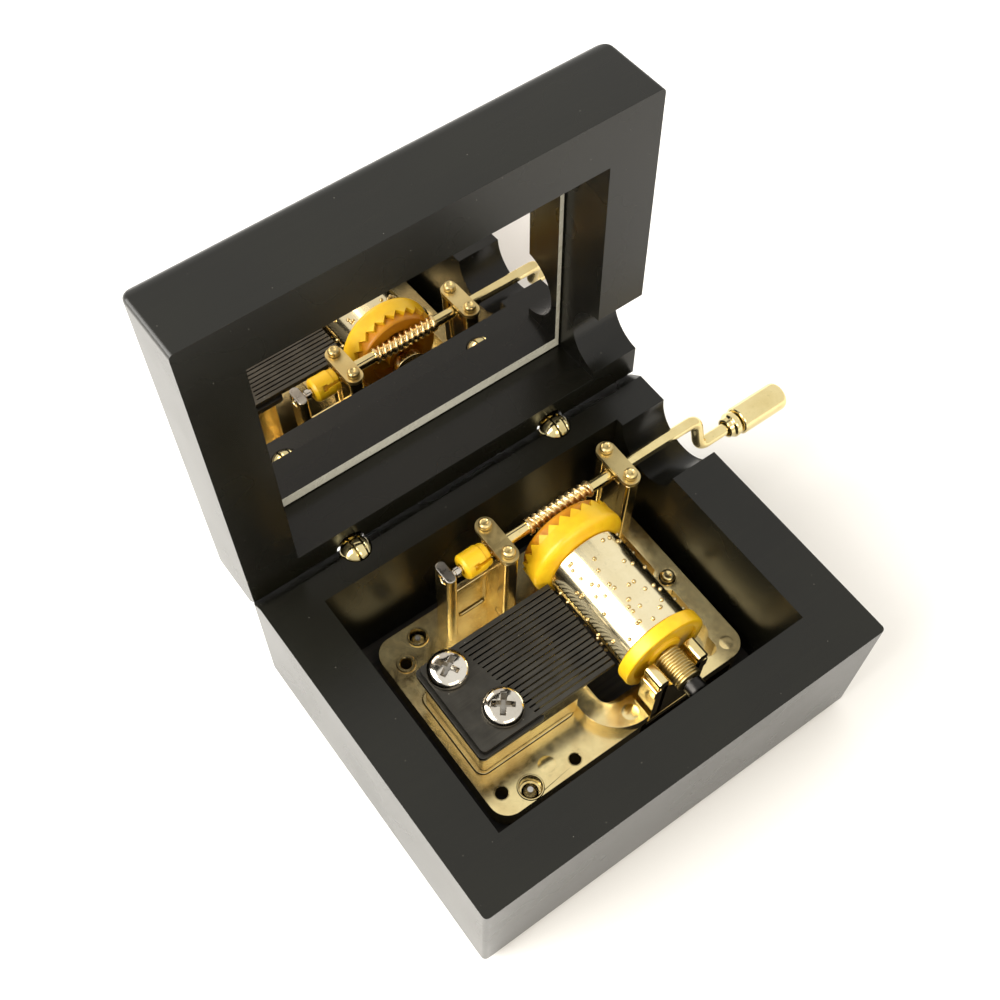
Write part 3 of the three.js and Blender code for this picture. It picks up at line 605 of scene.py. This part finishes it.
def build_mirror():
    """Silvered plate whose front edges are ground at a slant, widest beside the hinges."""
    low = Vector((-29.2, -22.1, 38.0))
    high = Vector((29.2, 23.5, 39.8))
    sides = 1.0
    hinge_side = 2.5
    outer = [(low.x, low.y), (high.x, low.y), (high.x, high.y), (low.x, high.y)]
    inner = [
        (low.x + sides, low.y + sides), (high.x - sides, low.y + sides),
        (high.x - sides, high.y - hinge_side), (low.x + sides, high.y - hinge_side),
    ]
    verts = [(x, y, low.z) for x, y in inner]
    verts += [(x, y, low.z + 0.3) for x, y in outer]
    verts += [(x, y, high.z) for x, y in outer]
    faces = [[0, 1, 2, 3]]
    for level in (0, 4):
        for i in range(4):
            j = (i + 1) % 4
            faces.append([level + i, level + j, level + 4 + j, level + 4 + i])
    faces.append([8, 9, 10, 11])
    plate = open_lid(make("mirror_plate", verts, faces))
    settle(plate, "lid", [SILVER, GROUND], "mirror", "mirror")
    largest = max(plate.data.polygons, key=lambda face: face.area)
    for face in plate.data.polygons:
        flat = abs(face.normal.dot(largest.normal)) > 0.999
        face.material_index = 0 if flat else 1


build_case()
build_lid()
build_mirror()
nodes["bottom_panel"].material_slots[0].material = BOARD

# ---------------------------------------------------------------- barrel hinges


def ball_slice(name, x, start, end, radius=2.7, edge=0.16):
    """A slice of a ball, cut across X, with eased rims."""
    profile = [(0, x + start)]
    steps = 14
    rim = math.sqrt(max(radius**2 - start**2, 0))
    if rim > 0.05:
        profile.append((rim - edge, x + start))
    t0 = math.acos(max(-1, min(1, (start + (edge if rim > 0.05 else 0)) / radius)))
    rim = math.sqrt(max(radius**2 - end**2, 0))
    t1 = math.acos(max(-1, min(1, (end - (edge if rim > 0.05 else 0)) / radius)))
    for k in range(steps + 1):
        t = t0 + (t1 - t0) * k / steps
        r = radius * math.sin(t)
        if r > 1e-3:
            profile.append((r, x + radius * math.cos(t)))
    if rim > 0.05:
        profile.append((rim - edge, x + end))
    profile.append((0, x + end))
    return lathe(name, "x", (PIVOT.y, PIVOT.z), profile, 56)


def build_hinge(side, x):
    slices = [ball_slice("slice", x, -2.7, -0.58), ball_slice("slice", x, 1.28, 2.7)]
    barrel = lathe("barrel", "z", (x, BARREL_Y), [
        (0, PIVOT.z - 10), (1.9, PIVOT.z - 10), (2.35, PIVOT.z - 9.5), (2.35, PIVOT.z - 1.6),
        (0, PIVOT.z - 1.6),
    ], 48)
    gap = rod("gap", "x", (PIVOT.y, PIVOT.z), x - 0.58, x + 1.28, 3.0)
    cut(barrel, gap)
    fixed = merge(f"hinge_{side}_fixed", slices + [barrel])
    settle(smooth(fixed), "case", BRASS, "gold", f"hinge_{side}_case_half")
    leaf = ball_slice("leaf", x, -0.34, 1.04, 2.62, 0.12)
    neck = block("neck", (x - 0.34, PIVOT.y - 1.7, PIVOT.z + 1.0), (x + 1.04, PIVOT.y + 1.2, PIVOT.z + 4))
    upper = lathe("upper", "z", (x, BARREL_Y), [
        (0, PIVOT.z + 3.15), (2.2, PIVOT.z + 3.15), (2.35, PIVOT.z + 3.3), (2.35, PIVOT.z + 9.5),
        (1.9, PIVOT.z + 10), (0, PIVOT.z + 10),
    ], 48)
    swinging = open_lid(merge(f"hinge_{side}_leaf", [leaf, neck, upper]))
    settle(smooth(swinging), "lid", BRASS, "gold", f"hinge_{side}_lid_half")


for side, x in (("left", HINGE_X[0]), ("right", HINGE_X[1])):
    build_hinge(side, x)

# ---------------------------------------------------------------- bedplate

DECK_TOP = 8.6
FRAME_TOP = 11.2
CAPS = {"left": -0.9, "right": 24.2}
CAP_LOW = 27.6
CAP_TOP = 28.4
DECK_BACK = 21.0
COMB_SCREWS = ((-18.8, 5.5), (-15.5, -4.8))


def build_deck():
    deck = prism("bedplate_deck", rectangle(-24.2, 27.4, -16.9, DECK_BACK, 3.4), 4, DECK_TOP)
    well = prism("well", rectangle(1.6, 22.4, -10.6, 12.8, 2), 3, 10)
    holes = [
        rod("hole", "z", place, 3, 10, radius, 40)
        for place, radius in (
            ((-21.3, -12.6), 1.1), ((-8.1, -15.0), 1.0), ((-20.9, 15.2), 1.0),
            ((-16.9, -14.6), 1.45), ((-16.4, 18.2), 1.45), ((24.6, 1.2), 1.45),
        )
    ]
    counterbore = rod("counterbore", "z", (-16.9, -14.6), 6.4, 10, 1.85, 40)
    cut(deck, well, *holes, counterbore)
    soften(deck, 0.3, 3)
    settle(smooth(deck), "case", GOLD, "gold", "bedplate")


def flush_disc(x, y, z, radius):
    """A round ejector mark: a shallow ring groove round a flat disc."""
    profile = [
        (0, z + 0.03), (radius - 0.16, z + 0.03), (radius - 0.05, z - 0.02), (radius + 0.02, z - 0.05),
        (radius + 0.02, z - 0.3), (0, z - 0.3),
    ]
    return lathe("disc", "z", (x, y), profile, 48)


def ring_boss(x, y, low, high, outer, inner):
    profile = [
        (inner, low), (outer, low), (outer, high - 0.15), (outer - 0.15, high), (inner + 0.15, high),
        (inner, high - 0.15), (inner, low),
    ]
    return lathe("boss", "z", (x, y), profile, 48)


def build_frame():
    """Raised frame: right rail, front bar and the hook beside the comb."""
    outline = rounded(
        [
            (-2.8, -16.9), (27.4, -16.9), (27.4, 17.0), (23.8, 17.0), (23.8, -12.1),
            (0.0, -12.1), (0.0, -4.8), (-2.8, -4.8),
        ],
        [7.2, 3.4, 1.2, 1.2, 2.4, 4.2, 1.35, 1.35],
        10,
    )
    rail = prism("bedplate_frame", outline, 5, FRAME_TOP)
    lobe = rod("lobe", "z", (24.6, 1.2), 5, FRAME_TOP, 2.5)
    unite(rail, lobe)
    window = prism("window", rectangle(20.0, 22.9, -14.6, -9.6, 1.3), 6.6, 13)
    seat = block("seat", (5.6, -17.6, 7.2), (16.8, -12.0, 13))
    bore = rod("bore", "z", (24.6, 1.2), 3, 13, 1.45, 40)
    cut(rail, window, seat, bore)
    soften(rail, 0.32, 3)
    settle(smooth(rail), "case", GOLD, "gold", "bedplate")


def build_comb_seat():
    """Pedestal under the comb, with a stepped foot and the apron below the front teeth."""
    pedestal = prism("bedplate_comb_seat", rectangle(-22.2, -11.7, -8.5, 8.2, 1.2), 6, 18.1)
    apron = prism("apron", rectangle(-13, -2.6, -8.5, -7.1, 0.5), 6, 14.2)
    unite(pedestal, apron)
    for x, y in COMB_SCREWS:
        cut(pedestal, rod("bore", "z", (x, y), 13.5, 20, 1.5))
    soften(pedestal, 0.3, 3)
    step = prism("step", rectangle(-22.8, -2.6, -8.9, 9.0, 1.8), 7, 9.3)
    soften(step, 0.3, 3)
    settle(smooth(merge("bedplate_comb_seat", [pedestal, step])), "case", GOLD, "gold", "bedplate")


def build_posts():
    """Bearing pillars, the end post, the thin web between them and the rear arbor post."""
    posts = []
    for x in CAPS.values():
        for offset in (-3.2, 3.2):
            y = SHAFT.y + offset
            back = min(y + 1.25, DECK_BACK - 0.1)
            pillar = rectangle(x - 1.35, x + 1.35, y - 1.25, back, 0.6)
            posts.append(prism("pillar", pillar, 6, CAP_LOW - 0.3))
            foot = rectangle(x - 1.8, x + 1.8, y - 1.7, back, 0.8)
            posts.append(prism("foot", foot, 6, 9.2))
        saddle = block("saddle", (x - 0.9, SHAFT.y - 2.4, 6), (x + 0.9, SHAFT.y + 2.4, SHAFT.z - 1.4))
        posts.append(saddle)
    outline = rectangle(-11.75, -9.85, 15.0, 19.5, 0.85)
    post = prism("post", outline, 6, CAP_LOW)
    cut(post, rod("bore", "x", (SHAFT.y, SHAFT.z), -14, -9, 1.0))
    posts.append(post)
    web = block("web", (-10.8, 16.6, 6), (-0.9, 17.8, 20.0))
    panel = prism("panel", rectangle(-8.8, -3.4, 10.0, 18.2, 0.8), 16.1, 17.0, "y")
    cut(web, panel)
    posts.append(web)
    arch = rounded([(8.2, 6), (14.2, 6), (14.2, 23.7), (8.2, 23.7)], [0, 0, 2.6, 2.6])
    rear = prism("rear", arch, 17.2, 19.0, "y")
    cut(rear, rod("bore", "y", (AXIS.x, AXIS.z), 15, 21, 1.3))
    posts.append(rear)
    for each in posts:
        soften(each, 0.25, 3)
    settle(smooth(merge("bedplate_posts", posts)), "case", GOLD, "gold", "bedplate")
    outline = rectangle(-11.72, -9.88, 15.03, 19.47, 0.84)
    cap = prism("bedplate_post_top", outline, CAP_LOW - 0.4, CAP_LOW + 0.02)
    settle(smooth(soften(cap, 0.2, 3)), "case", DARK_CHROME_AND_SHADE, "gold", "bedplate")


def build_marks():
    discs = [
        flush_disc(-12.4, -13.0, DECK_TOP, 1.6), flush_disc(3.6, -14.5, FRAME_TOP, 1.55),
        flush_disc(24.7, -14.2, FRAME_TOP, 1.35),
        ring_boss(-16.4, 18.2, 8.2, 9.0, 1.85, 1.45), ring_boss(-20.9, 15.2, 8.2, 9.0, 1.7, 1.0),
        ring_boss(-16.9, -14.6, 8.2, 8.75, 2.3, 1.88), ring_boss(-21.3, -12.6, 8.3, 8.7, 1.35, 1.1),
        ring_boss(-8.1, -15.0, 8.3, 8.7, 1.25, 1.0),
    ]
    settle(smooth(merge("bedplate_marks", discs)), "case", GOLD, "gold", "bedplate")


build_deck()
build_frame()
build_comb_seat()
build_posts()
build_marks()


def build_fork():
    """Two springy arms with rounded tabs that hold the front bush."""
    parts = []
    for x, out in ((7.2, -1), (15.2, 1)):
        points = [
            (x - out * 1.1, 9), (x - out * 1.1, 22.5), (x + out * 1.1, 22.5), (x + out * 1.1, 20.6),
            (x + out * 0.35, 20.6), (x + out * 0.35, 20.0), (x + out * 1.5, 20.0), (x + out * 1.5, 17.7),
            (x + out * 1.1, 17.3), (x + out * 1.1, 9),
        ]
        radii = [0, 0.8, 0.95, 0.25, 0.1, 0.1, 0.5, 0.4, 0.1, 0]
        arm = prism("arm", rounded(points, radii, 6), -16.8, -13.1, "y")
        parts.append(soften(arm, 0.22, 3))
    foot = block("foot", (6.1, -16.8, 7.5), (16.3, -13.1, 10.4))
    cradle = block("cradle", (7.2, -16.8, 10), (15.2, -13.1, AXIS.z - 0.2))
    cut(cradle, rod("opening", "y", (AXIS.x, AXIS.z), -18, -11, 2.9))
    parts += [soften(foot, 0.3, 3), soften(cradle, 0.2, 3)]
    settle(smooth(merge("fork", parts)), "case", GOLD_BRIGHT, "gold", "front_fork")


build_fork()

# ---------------------------------------------------------------- bearings of the worm shaft


def build_bearings():
    for side, x in CAPS.items():
        y0, y1 = SHAFT.y - 4.9, SHAFT.y + 4.9
        cap = prism(f"cap_{side}", rectangle(x - 1.7, x + 1.7, y0, y1, 1.69, 14), CAP_LOW, CAP_TOP)
        for y in (SHAFT.y - 3.2, SHAFT.y + 3.2):
            cut(cap, rod("hole", "z", (x, y), CAP_LOW - 1, CAP_TOP + 1, 0.95, 32))
        soften(cap, 0.2, 3)
        settle(smooth(cap), "case", GOLD_SATIN, "gold", f"bearing_cap_{side}")
        for end, y in (("front", SHAFT.y - 3.2), ("back", SHAFT.y + 3.2)):
            head = CAP_TOP + 0.1
            profile = [
                (0, CAP_LOW), (0.65, CAP_LOW), (0.65, head), (1.1, head), (1.15, head + 0.08),
                (1.15, head + 0.6), (1.05, head + 0.9), (0.82, head + 1.1), (0.6, head + 1.15),
                (0.42, head + 1.0), (0.2, head + 0.93), (0, head + 0.92),
            ]
            rivet = lathe(f"rivet_{side}_{end}", "z", (x, y), profile, 40)
            settle(smooth(rivet, 50), "case", GOLD_SATIN, "gold", f"cap_rivet_{side}_{end}")


build_bearings()

# ---------------------------------------------------------------- crank, worm, clutch and knob

WORM = {"start": 5.2, "end": 18.1, "root": 1.0, "crest": 1.5, "lead": 2.34}


def build_worm():
    rings = []
    around = 48
    steps = 210
    for k in range(steps + 1):
        x = WORM["start"] + (WORM["end"] - WORM["start"]) * k / steps
        turn = 2 * math.pi * (x - WORM["start"]) / WORM["lead"]
        ring = []
        for i in range(around):
            t = 2 * math.pi * i / around
            wave = (0.5 + 0.5 * math.cos(2 * (t - turn))) ** 0.85
            r = WORM["root"] + (WORM["crest"] - WORM["root"]) * wave
            ring.append((x, SHAFT.y + r * math.sin(t), SHAFT.z - r * math.cos(t)))
        rings.append(ring)
    return tube_from("worm", rings)


def tube_from(name, rings):
    around = len(rings[0])
    verts = [v for ring in rings for v in ring]
    faces = []
    for k in range(len(rings) - 1):
        for i in range(around):
            j = (i + 1) % around
            faces.append([k * around + i, k * around + j, (k + 1) * around + j, (k + 1) * around + i])
    faces.append(list(range(around)))
    faces.append([(len(rings) - 1) * around + i for i in range(around)])
    return make(name, verts, faces)


def sweep(name, line, radius, around=32):
    """A round wire along a line in one plane through X."""
    rings = []
    side = None
    for k, point in enumerate(line):
        before = line[max(k - 1, 0)]
        after = line[min(k + 1, len(line) - 1)]
        along = (after - before).normalized()
        if side is None:
            side = along.orthogonal().normalized()
        side = (side - along * side.dot(along)).normalized()
        other = along.cross(side)
        turns = [2 * math.pi * i / around for i in range(around)]
        rings.append([point + (side * math.cos(t) + other * math.sin(t)) * radius for t in turns])
    return tube_from(name, rings)


def crank_line():
    upper = Vector((41.6, SHAFT.y, SHAFT.z))
    lower = Vector((41.6, KNOB.y, KNOB.z))
    down = (lower - upper).normalized()
    along = Vector((1, 0, 0))
    bend = 1.9
    line = [Vector((17.6, SHAFT.y, SHAFT.z)), Vector((30, SHAFT.y, SHAFT.z))]
    for start, corner, end in (
        (upper - along * bend, upper, upper + down * bend),
        (lower - down * bend, lower, lower + along * bend),
    ):
        for k in range(15):
            t = k / 14
            line.append(start * (1 - t) ** 2 + corner * 2 * t * (1 - t) + end * t**2)
    line += [Vector((50, KNOB.y, KNOB.z)), Vector((58.8, KNOB.y, KNOB.z))]
    return line


def build_crank():
    place = (SHAFT.y, SHAFT.z)
    parts = [build_worm(), sweep("rod", crank_line(), 1.1)]
    parts.append(lathe("journal", "x", place, [
        (0, -2.7), (0.9, -2.7), (1.1, -2.5), (1.1, 5.3), (0, 5.3),
    ], 48))
    for x in (WORM["start"] - 0.1, WORM["end"] - 0.5):
        parts.append(lathe("ring", "x", place, [
            (0, x), (1.38, x), (1.5, x + 0.12), (1.5, x + 0.48), (1.38, x + 0.6), (0, x + 0.6),
        ], 48))
    crank = merge("crank", parts)
    settle(smooth(crank, 40), "crank", [GOLD_BRIGHT, WORM_GOLD], "gold", "crank_shaft")
    for face in crank.data.polygons:
        face.material_index = 1 if WORM["start"] < face.center.x / MM < WORM["end"] else 0
    sleeve = lathe("clutch_sleeve", "x", place, [
        (1.0, -8.0), (1.65, -8.0), (2.0, -7.9), (2.3, -7.5), (2.3, -4.3), (2.22, -4.1), (2.1, -4.0),
        (2.1, -3.35), (1.95, -3.05), (1.0, -3.0), (1.0, -8.0),
    ], 64)
    for turn in (33, 147):
        slot = block("slot", (-6.4, 1.2, -0.33), (-2, 3, 0.33))
        well = rod("well", "z", (-6.0, 1.9), -0.6, 0.6, 0.62, 24)
        for cutter in (slot, well):
            about = Matrix.Rotation(math.radians(turn), 4, "X")
            flip = Matrix.Scale(-1, 4, (0, 1, 0))
            cutter.data.transform(Matrix.Translation((0, SHAFT.y * MM, SHAFT.z * MM)) @ flip @ about)
            cutter.data.flip_normals()
            cut(sleeve, cutter)
    soften(sleeve, 0.12, 2, 40)
    settle(smooth(sleeve), "crank", YELLOW, "yellow_plastic", "clutch")
    pin = lathe("pivot", "x", place, [
        (0, -11.6), (0.45, -11.6), (0.68, -11.3), (0.68, -9.4), (0.95, -9.35), (0.95, -8.6), (0.68, -8.5),
        (0.68, -3.05), (0, -3.0),
    ], 40)
    settle(smooth(pin), "crank", NICKEL, "nickel", "pivot_pin")


def build_knob():
    place = (KNOB.y, KNOB.z)
    collar = lathe("knob_neck", "x", place, [
        (1.4, 47.7), (1.7, 47.7), (1.8, 47.8), (1.8, 48.5), (1.95, 48.65), (2.2, 48.75), (2.3, 48.9),
        (2.3, 49.75), (2.2, 49.9), (2.05, 50), (1.4, 50), (1.4, 47.7),
    ], 64)
    settle(smooth(collar, 50), "knob", GOLD_BRIGHT, "gold", "knob_collar")
    body = lathe("knob_body", "x", place, [
        (1.4, 50.3), (2.2, 50.3), (2.45, 50.38), (2.58, 50.55), (2.6, 50.8), (2.6, 59.3), (2.55, 59.65),
        (2.42, 59.95), (2.2, 60.15), (1.9, 60.23), (0, 60.26), (0, 59.5), (1.9, 59.5), (1.9, 58.3),
        (1.4, 58.3), (1.4, 50.3),
    ], 64)
    settle(smooth(body, 50), "knob", GOLD_BRIGHT, "gold", "knob")


build_crank()
build_knob()

# ---------------------------------------------------------------- cylinder


COMB_FRONT = -9.1
COMB_BACK = 8.65
TEETH = 18
PIN_SIDES = 8
WHEEL_TEETH = 24


def build_barrel():
    """Hollow barrel with rows of tapered pins, one row to each comb tooth."""
    random.seed(18)
    profile = [
        (5.8, -9.7), (6.7, -9.7), (6.8, -9.6), (6.8, 8.5), (6.7, 8.6), (5.8, 8.6), (5.8, -9.7),
    ]
    parts = [lathe("tube", "y", (AXIS.x, AXIS.z), profile, 160)]
    verts = []
    faces = []
    for row in range(TEETH):
        y = COMB_FRONT + (COMB_BACK - COMB_FRONT) * (row + 0.5) / TEETH
        turns = [190 + (row * 2 + k) * 137.5 for k in (0, 1)]
        turns += [random.uniform(0, 360) for _ in range(random.choice((2, 3, 4, 5)))]
        for turn in turns:
            t = math.radians(turn)
            out = Vector((-math.cos(t), 0, math.sin(t)))
            around = Vector((out.z, 0, -out.x))
            base = Vector((AXIS.x, y, AXIS.z)) + out * 6.7
            start = len(verts)
            for radius, height in ((0.38, 0), (0.33, 0.3), (0.17, 0.47)):
                for i in range(PIN_SIDES):
                    a = 2 * math.pi * i / PIN_SIDES
                    across = around * math.cos(a) + Vector((0, math.sin(a), 0))
                    verts.append(base + out * height + across * radius)
            for low in (start, start + PIN_SIDES):
                for i in range(PIN_SIDES):
                    j = (i + 1) % PIN_SIDES
                    faces.append([low + i, low + j, low + PIN_SIDES + j, low + PIN_SIDES + i])
            faces.append([start + 2 * PIN_SIDES + i for i in range(PIN_SIDES)])
            faces.append([start + i for i in range(PIN_SIDES)][::-1])
    parts.append(make("pins", verts, faces))
    barrel = smooth(merge("barrel", parts), 50)
    settle(barrel, "cylinder", [BARREL, PIN], "gold", "pinned_barrel")
    for face in barrel.data.polygons:
        away = Vector((face.center.x / MM - AXIS.x, 0, face.center.z / MM - AXIS.z)).length
        face.material_index = 1 if away > 6.83 else 0


def build_wheel():
    """Flared wheel with a crown of pointed teeth over a plain rear ring, the ring's faces coloured a deeper
    orange as painted shade.
    """
    body = lathe("wheel", "y", (AXIS.x, AXIS.z), [
        (1.3, 5.8), (5.4, 5.8), (5.5, 5.9), (5.5, 8.9), (6.95, 8.9), (7.15, 9.0), (7.9, 9.25), (8.6, 9.6),
        (9.0, 10.0), (9.1, 10.4), (9.08, 10.8), (8.98, 11.5), (8.88, 12.3), (8.85, 12.8), (8.1, 12.82),
        (8.1, 14.3), (8.0, 14.7), (7.8, 14.9), (5.6, 14.9), (5.6, 12.0), (2.6, 12.0), (2.6, 15.8),
        (1.3, 15.8), (1.3, 5.8),
    ], 144)
    parts = [body]
    step = 2 * math.pi / WHEEL_TEETH
    phase = 0.077
    verts = []
    faces = []
    across = 8
    for tooth in range(24):
        start = len(verts)
        middle = step * tooth + phase
        for k in range(across + 1):
            s = -1 + 2 * k / across
            t = middle + s * step / 2
            y = 13.97 - 1.2 * abs(s) ** 1.05
            for radius in (8.0, 8.85):
                for place in (12.5, y):
                    verts.append((AXIS.x + radius * math.sin(t), place, AXIS.z + radius * math.cos(t)))
        for k in range(across):
            a = start + k * 4
            b = a + 4
            faces.append([a, a + 1, b + 1, b])
            faces.append([a + 2, b + 2, b + 3, a + 3])
            faces.append([a + 1, a + 3, b + 3, b + 1])
            faces.append([a, b, b + 2, a + 2])
    parts.append(make("teeth", verts, faces))
    wheel = smooth(merge("wheel_crown", parts), 35)
    settle(wheel, "cylinder", [YELLOW, YELLOW_PAINTED_SHADE], "yellow_plastic", "worm_wheel")
    # Painted shade: faces of the rear ring behind the teeth take the deeper orange, standing in for the shade
    # there.
    for face in wheel.data.polygons:
        away = Vector((face.center.x / MM - AXIS.x, 0, face.center.z / MM - AXIS.z)).length
        rear = face.center.y / MM > 12.75 and away < 8.2 or abs(face.center.y / MM - 12.81) < 0.05
        face.material_index = 1 if rear else 0


def build_flange():
    flange = lathe("flange", "y", (AXIS.x, AXIS.z), [
        (1.3, -12.4), (3.0, -12.4), (3.2, -12.3), (3.3, -11.9), (6.2, -11.85), (6.4, -12.3), (6.6, -12.4),
        (7.55, -12.4), (7.78, -12.3), (7.9, -12.05), (7.9, -10.35), (7.78, -10.1), (7.55, -10.0),
        (5.5, -10.0), (5.5, -7.3), (5.4, -7.2), (1.3, -7.2), (1.3, -12.4),
    ], 128)
    settle(smooth(flange), "cylinder", YELLOW, "yellow_plastic", "front_flange")


def build_bush():
    profile = [(1.3, -18.5), (2.0, -18.5)]
    ridges = 11
    pitch = 5.7 / ridges
    for i in range(ridges):
        for part in range(6):
            swell = 0.19 * math.sin(math.pi * part / 6)
            profile.append((2.14 + swell, -18.45 + (i + part / 6) * pitch))
    profile += [(2.1, -12.7), (1.3, -12.7), (1.3, -18.5)]
    bush = lathe("bush", "y", (AXIS.x, AXIS.z), profile, 72)
    settle(smooth(bush, 70), "cylinder", GOLD_SATIN, "gold", "ridged_bush")
    cap = lathe("bush_cap", "y", (AXIS.x, AXIS.z), [
        (0, -21.05), (0.5, -21.05), (0.7, -21.2), (1.25, -21.18), (1.6, -21.0), (1.78, -20.7), (1.8, -20.4),
        (1.8, -18.9), (1.75, -18.8), (1.3, -18.8), (1.3, -20.3), (0, -20.3), (0, -21.05),
    ], 56)
    settle(smooth(cap, 40), "cylinder", BLACK, "black_plastic", "end_cap")


build_barrel()
build_wheel()
build_flange()
build_bush()

# ---------------------------------------------------------------- comb and screws


COMB_LEFT = -22.5
COMB_TIP = 3.6
COMB_LOW = 19.8


def slit_root(y):
    """Where a slit ends: the low notes have the longer teeth."""
    return -11.6 - 3.6 * (y - COMB_FRONT) / (COMB_BACK - COMB_FRONT)


def build_comb():
    """Steel comb: one plate whose teeth are split by thin slits with pointed roots."""
    pitch = (COMB_BACK - COMB_FRONT) / TEETH
    half = 0.13
    outline = [(COMB_LEFT + 0.9, COMB_FRONT), (COMB_TIP, COMB_FRONT)]
    for i in range(1, TEETH):
        y = COMB_FRONT + pitch * i
        root = slit_root(y)
        outline += [(COMB_TIP, y - half), (root, y - half), (root - 0.1, y)]
        outline += [(root, y + half), (COMB_TIP, y + half)]
    outline.append((COMB_TIP, COMB_BACK))
    ends = [
        (COMB_LEFT + 0.9, COMB_BACK), (COMB_LEFT, COMB_BACK), (COMB_LEFT, COMB_FRONT),
        (COMB_LEFT + 0.9, COMB_FRONT),
    ]
    plate = prism("comb_plate", outline + rounded(ends, [0, 0.88, 0.88, 0], 6)[:-1], COMB_LOW, COMB_LOW + 1)
    backing = rectangle(COMB_LEFT - 0.6, -10.4, COMB_FRONT - 0.5, COMB_BACK + 0.4, 1)
    base = prism("comb_backing", backing, 18.4, 19.5)
    for x, y in COMB_SCREWS:
        cut(plate, rod("bore", "z", (x, y), 17, 22, 1.75))
        cut(base, rod("bore", "z", (x, y), 17, 22, 1.75))
    soften(plate, 0.06, 1, 40)
    settle(smooth(plate), "case", COMB_STEEL, "comb_steel", "comb")
    soften(base, 0.12, 2)
    settle(smooth(base), "case", COMB_STEEL, "comb_steel", "comb_base")


def build_comb_screw(name, x, y, turn, node):
    seat = COMB_LOW + 1.1
    profile = [
        (0, 14.2), (1.1, 14.2), (1.2, 14.5), (1.2, seat), (3.2, seat), (3.42, seat + 0.12),
        (3.5, seat + 0.35), (3.42, seat + 0.8), (3.15, seat + 1.22), (2.65, seat + 1.55),
        (1.9, seat + 1.77), (1.0, seat + 1.88), (0, seat + 1.92),
    ]
    screw = lathe(name, "z", (x, y), profile, 72)
    for angle in (turn, turn + math.pi / 2):
        arm = block("arm", (-2.6, -0.62, 0), (2.6, 0.62, 2.2))
        for vertex in arm.data.vertices:
            if vertex.co.z < 0.5 * MM:
                vertex.co.x *= 0.45
                vertex.co.y *= 0.5
        turned = Matrix.Translation(Vector((x, y, seat + 0.55)) * MM) @ Matrix.Rotation(angle, 4, "Z")
        arm.data.transform(turned)
        cut(screw, arm)
    soften(screw, 0.09, 2, 40)
    settle(smooth(screw, 40), "case", [NICKEL, DARK_CHROME_AND_SHADE], "nickel", node)
    # Painted shade: the faces inside the cross slot and the hidden shank take the dark chrome, standing in
    # for the shade in the recess.
    for face in screw.data.polygons:
        near = Vector((face.center.x / MM - x, face.center.y / MM - y)).length < 2.35
        face.material_index = 1 if near and 16 < face.center.z / MM < seat + 1.62 else 0


build_comb()
build_comb_screw("screw_back", *COMB_SCREWS[0], 0.5, "comb_screw_back")
build_comb_screw("screw_front", *COMB_SCREWS[1], 0.9, "comb_screw_front")


def build_rivet():
    rivet = lathe("rail_stud", "z", (24.6, 1.2), [
        (0, 11.5), (1.0, 11.5), (1.2, 11.55), (1.25, 11.7), (1.22, 11.95), (1.1, 12.2), (0.85, 12.33),
        (0.6, 12.35), (0.45, 12.22), (0, 12.18),
    ], 48)
    settle(smooth(rivet, 50), "case", GOLD, "gold", "rail_rivet")


build_rivet()

STEEL_NODES = (
    "hinge_left_pin", "hinge_right_pin", "arbor",
    "mount_screw_front", "mount_screw_back", "mount_screw_side",
)
for name in STEEL_NODES:
    nodes[name].material_slots[0].material = STEEL

# ---------------------------------------------------------------- table, light


TABLE_HALF = 6000


def build_table():
    corners = [(x * TABLE_HALF, y * TABLE_HALF, 0) for x, y in ((-1, -1), (1, -1), (1, 1), (-1, 1))]
    floor = make("table", corners, [[0, 1, 2, 3]])
    floor.location.z = -0.0002
    floor.data.materials.append(table())


def area_light(name, place, aim, width, height, power, colour=(1, 1, 1)):
    data = bpy.data.lights.new(name, "AREA")
    data.shape = "RECTANGLE"
    data.size = width
    data.size_y = height
    data.energy = power
    data.color = colour
    light = bpy.data.objects.new(name, data)
    light.location = place
    light.rotation_euler = (Vector(aim) - Vector(place)).to_track_quat("-Z", "Y").to_euler()
    bpy.context.scene.collection.objects.link(light)


def build_light():
    world = bpy.data.worlds.new("studio")
    bpy.context.scene.world = world
    world.use_nodes = True
    background = world.node_tree.nodes["Background"]
    background.inputs["Color"].default_value = (1.0, 0.985, 0.95, 1)
    background.inputs["Strength"].default_value = 0.98
    area_light("window", (-0.5, 0.22, 0.38), (0, 0, 0.02), 0.7, 0.6, 10.5, (1, 0.98, 0.94))
    area_light("front", (-0.1, -0.6, 0.5), (0, 0, 0.02), 0.5, 0.25, 2.2, (1, 0.84, 0.62))


build_table()
build_light()
view = bpy.context.scene.view_settings
view.view_transform = "Standard"
view.look = "None"
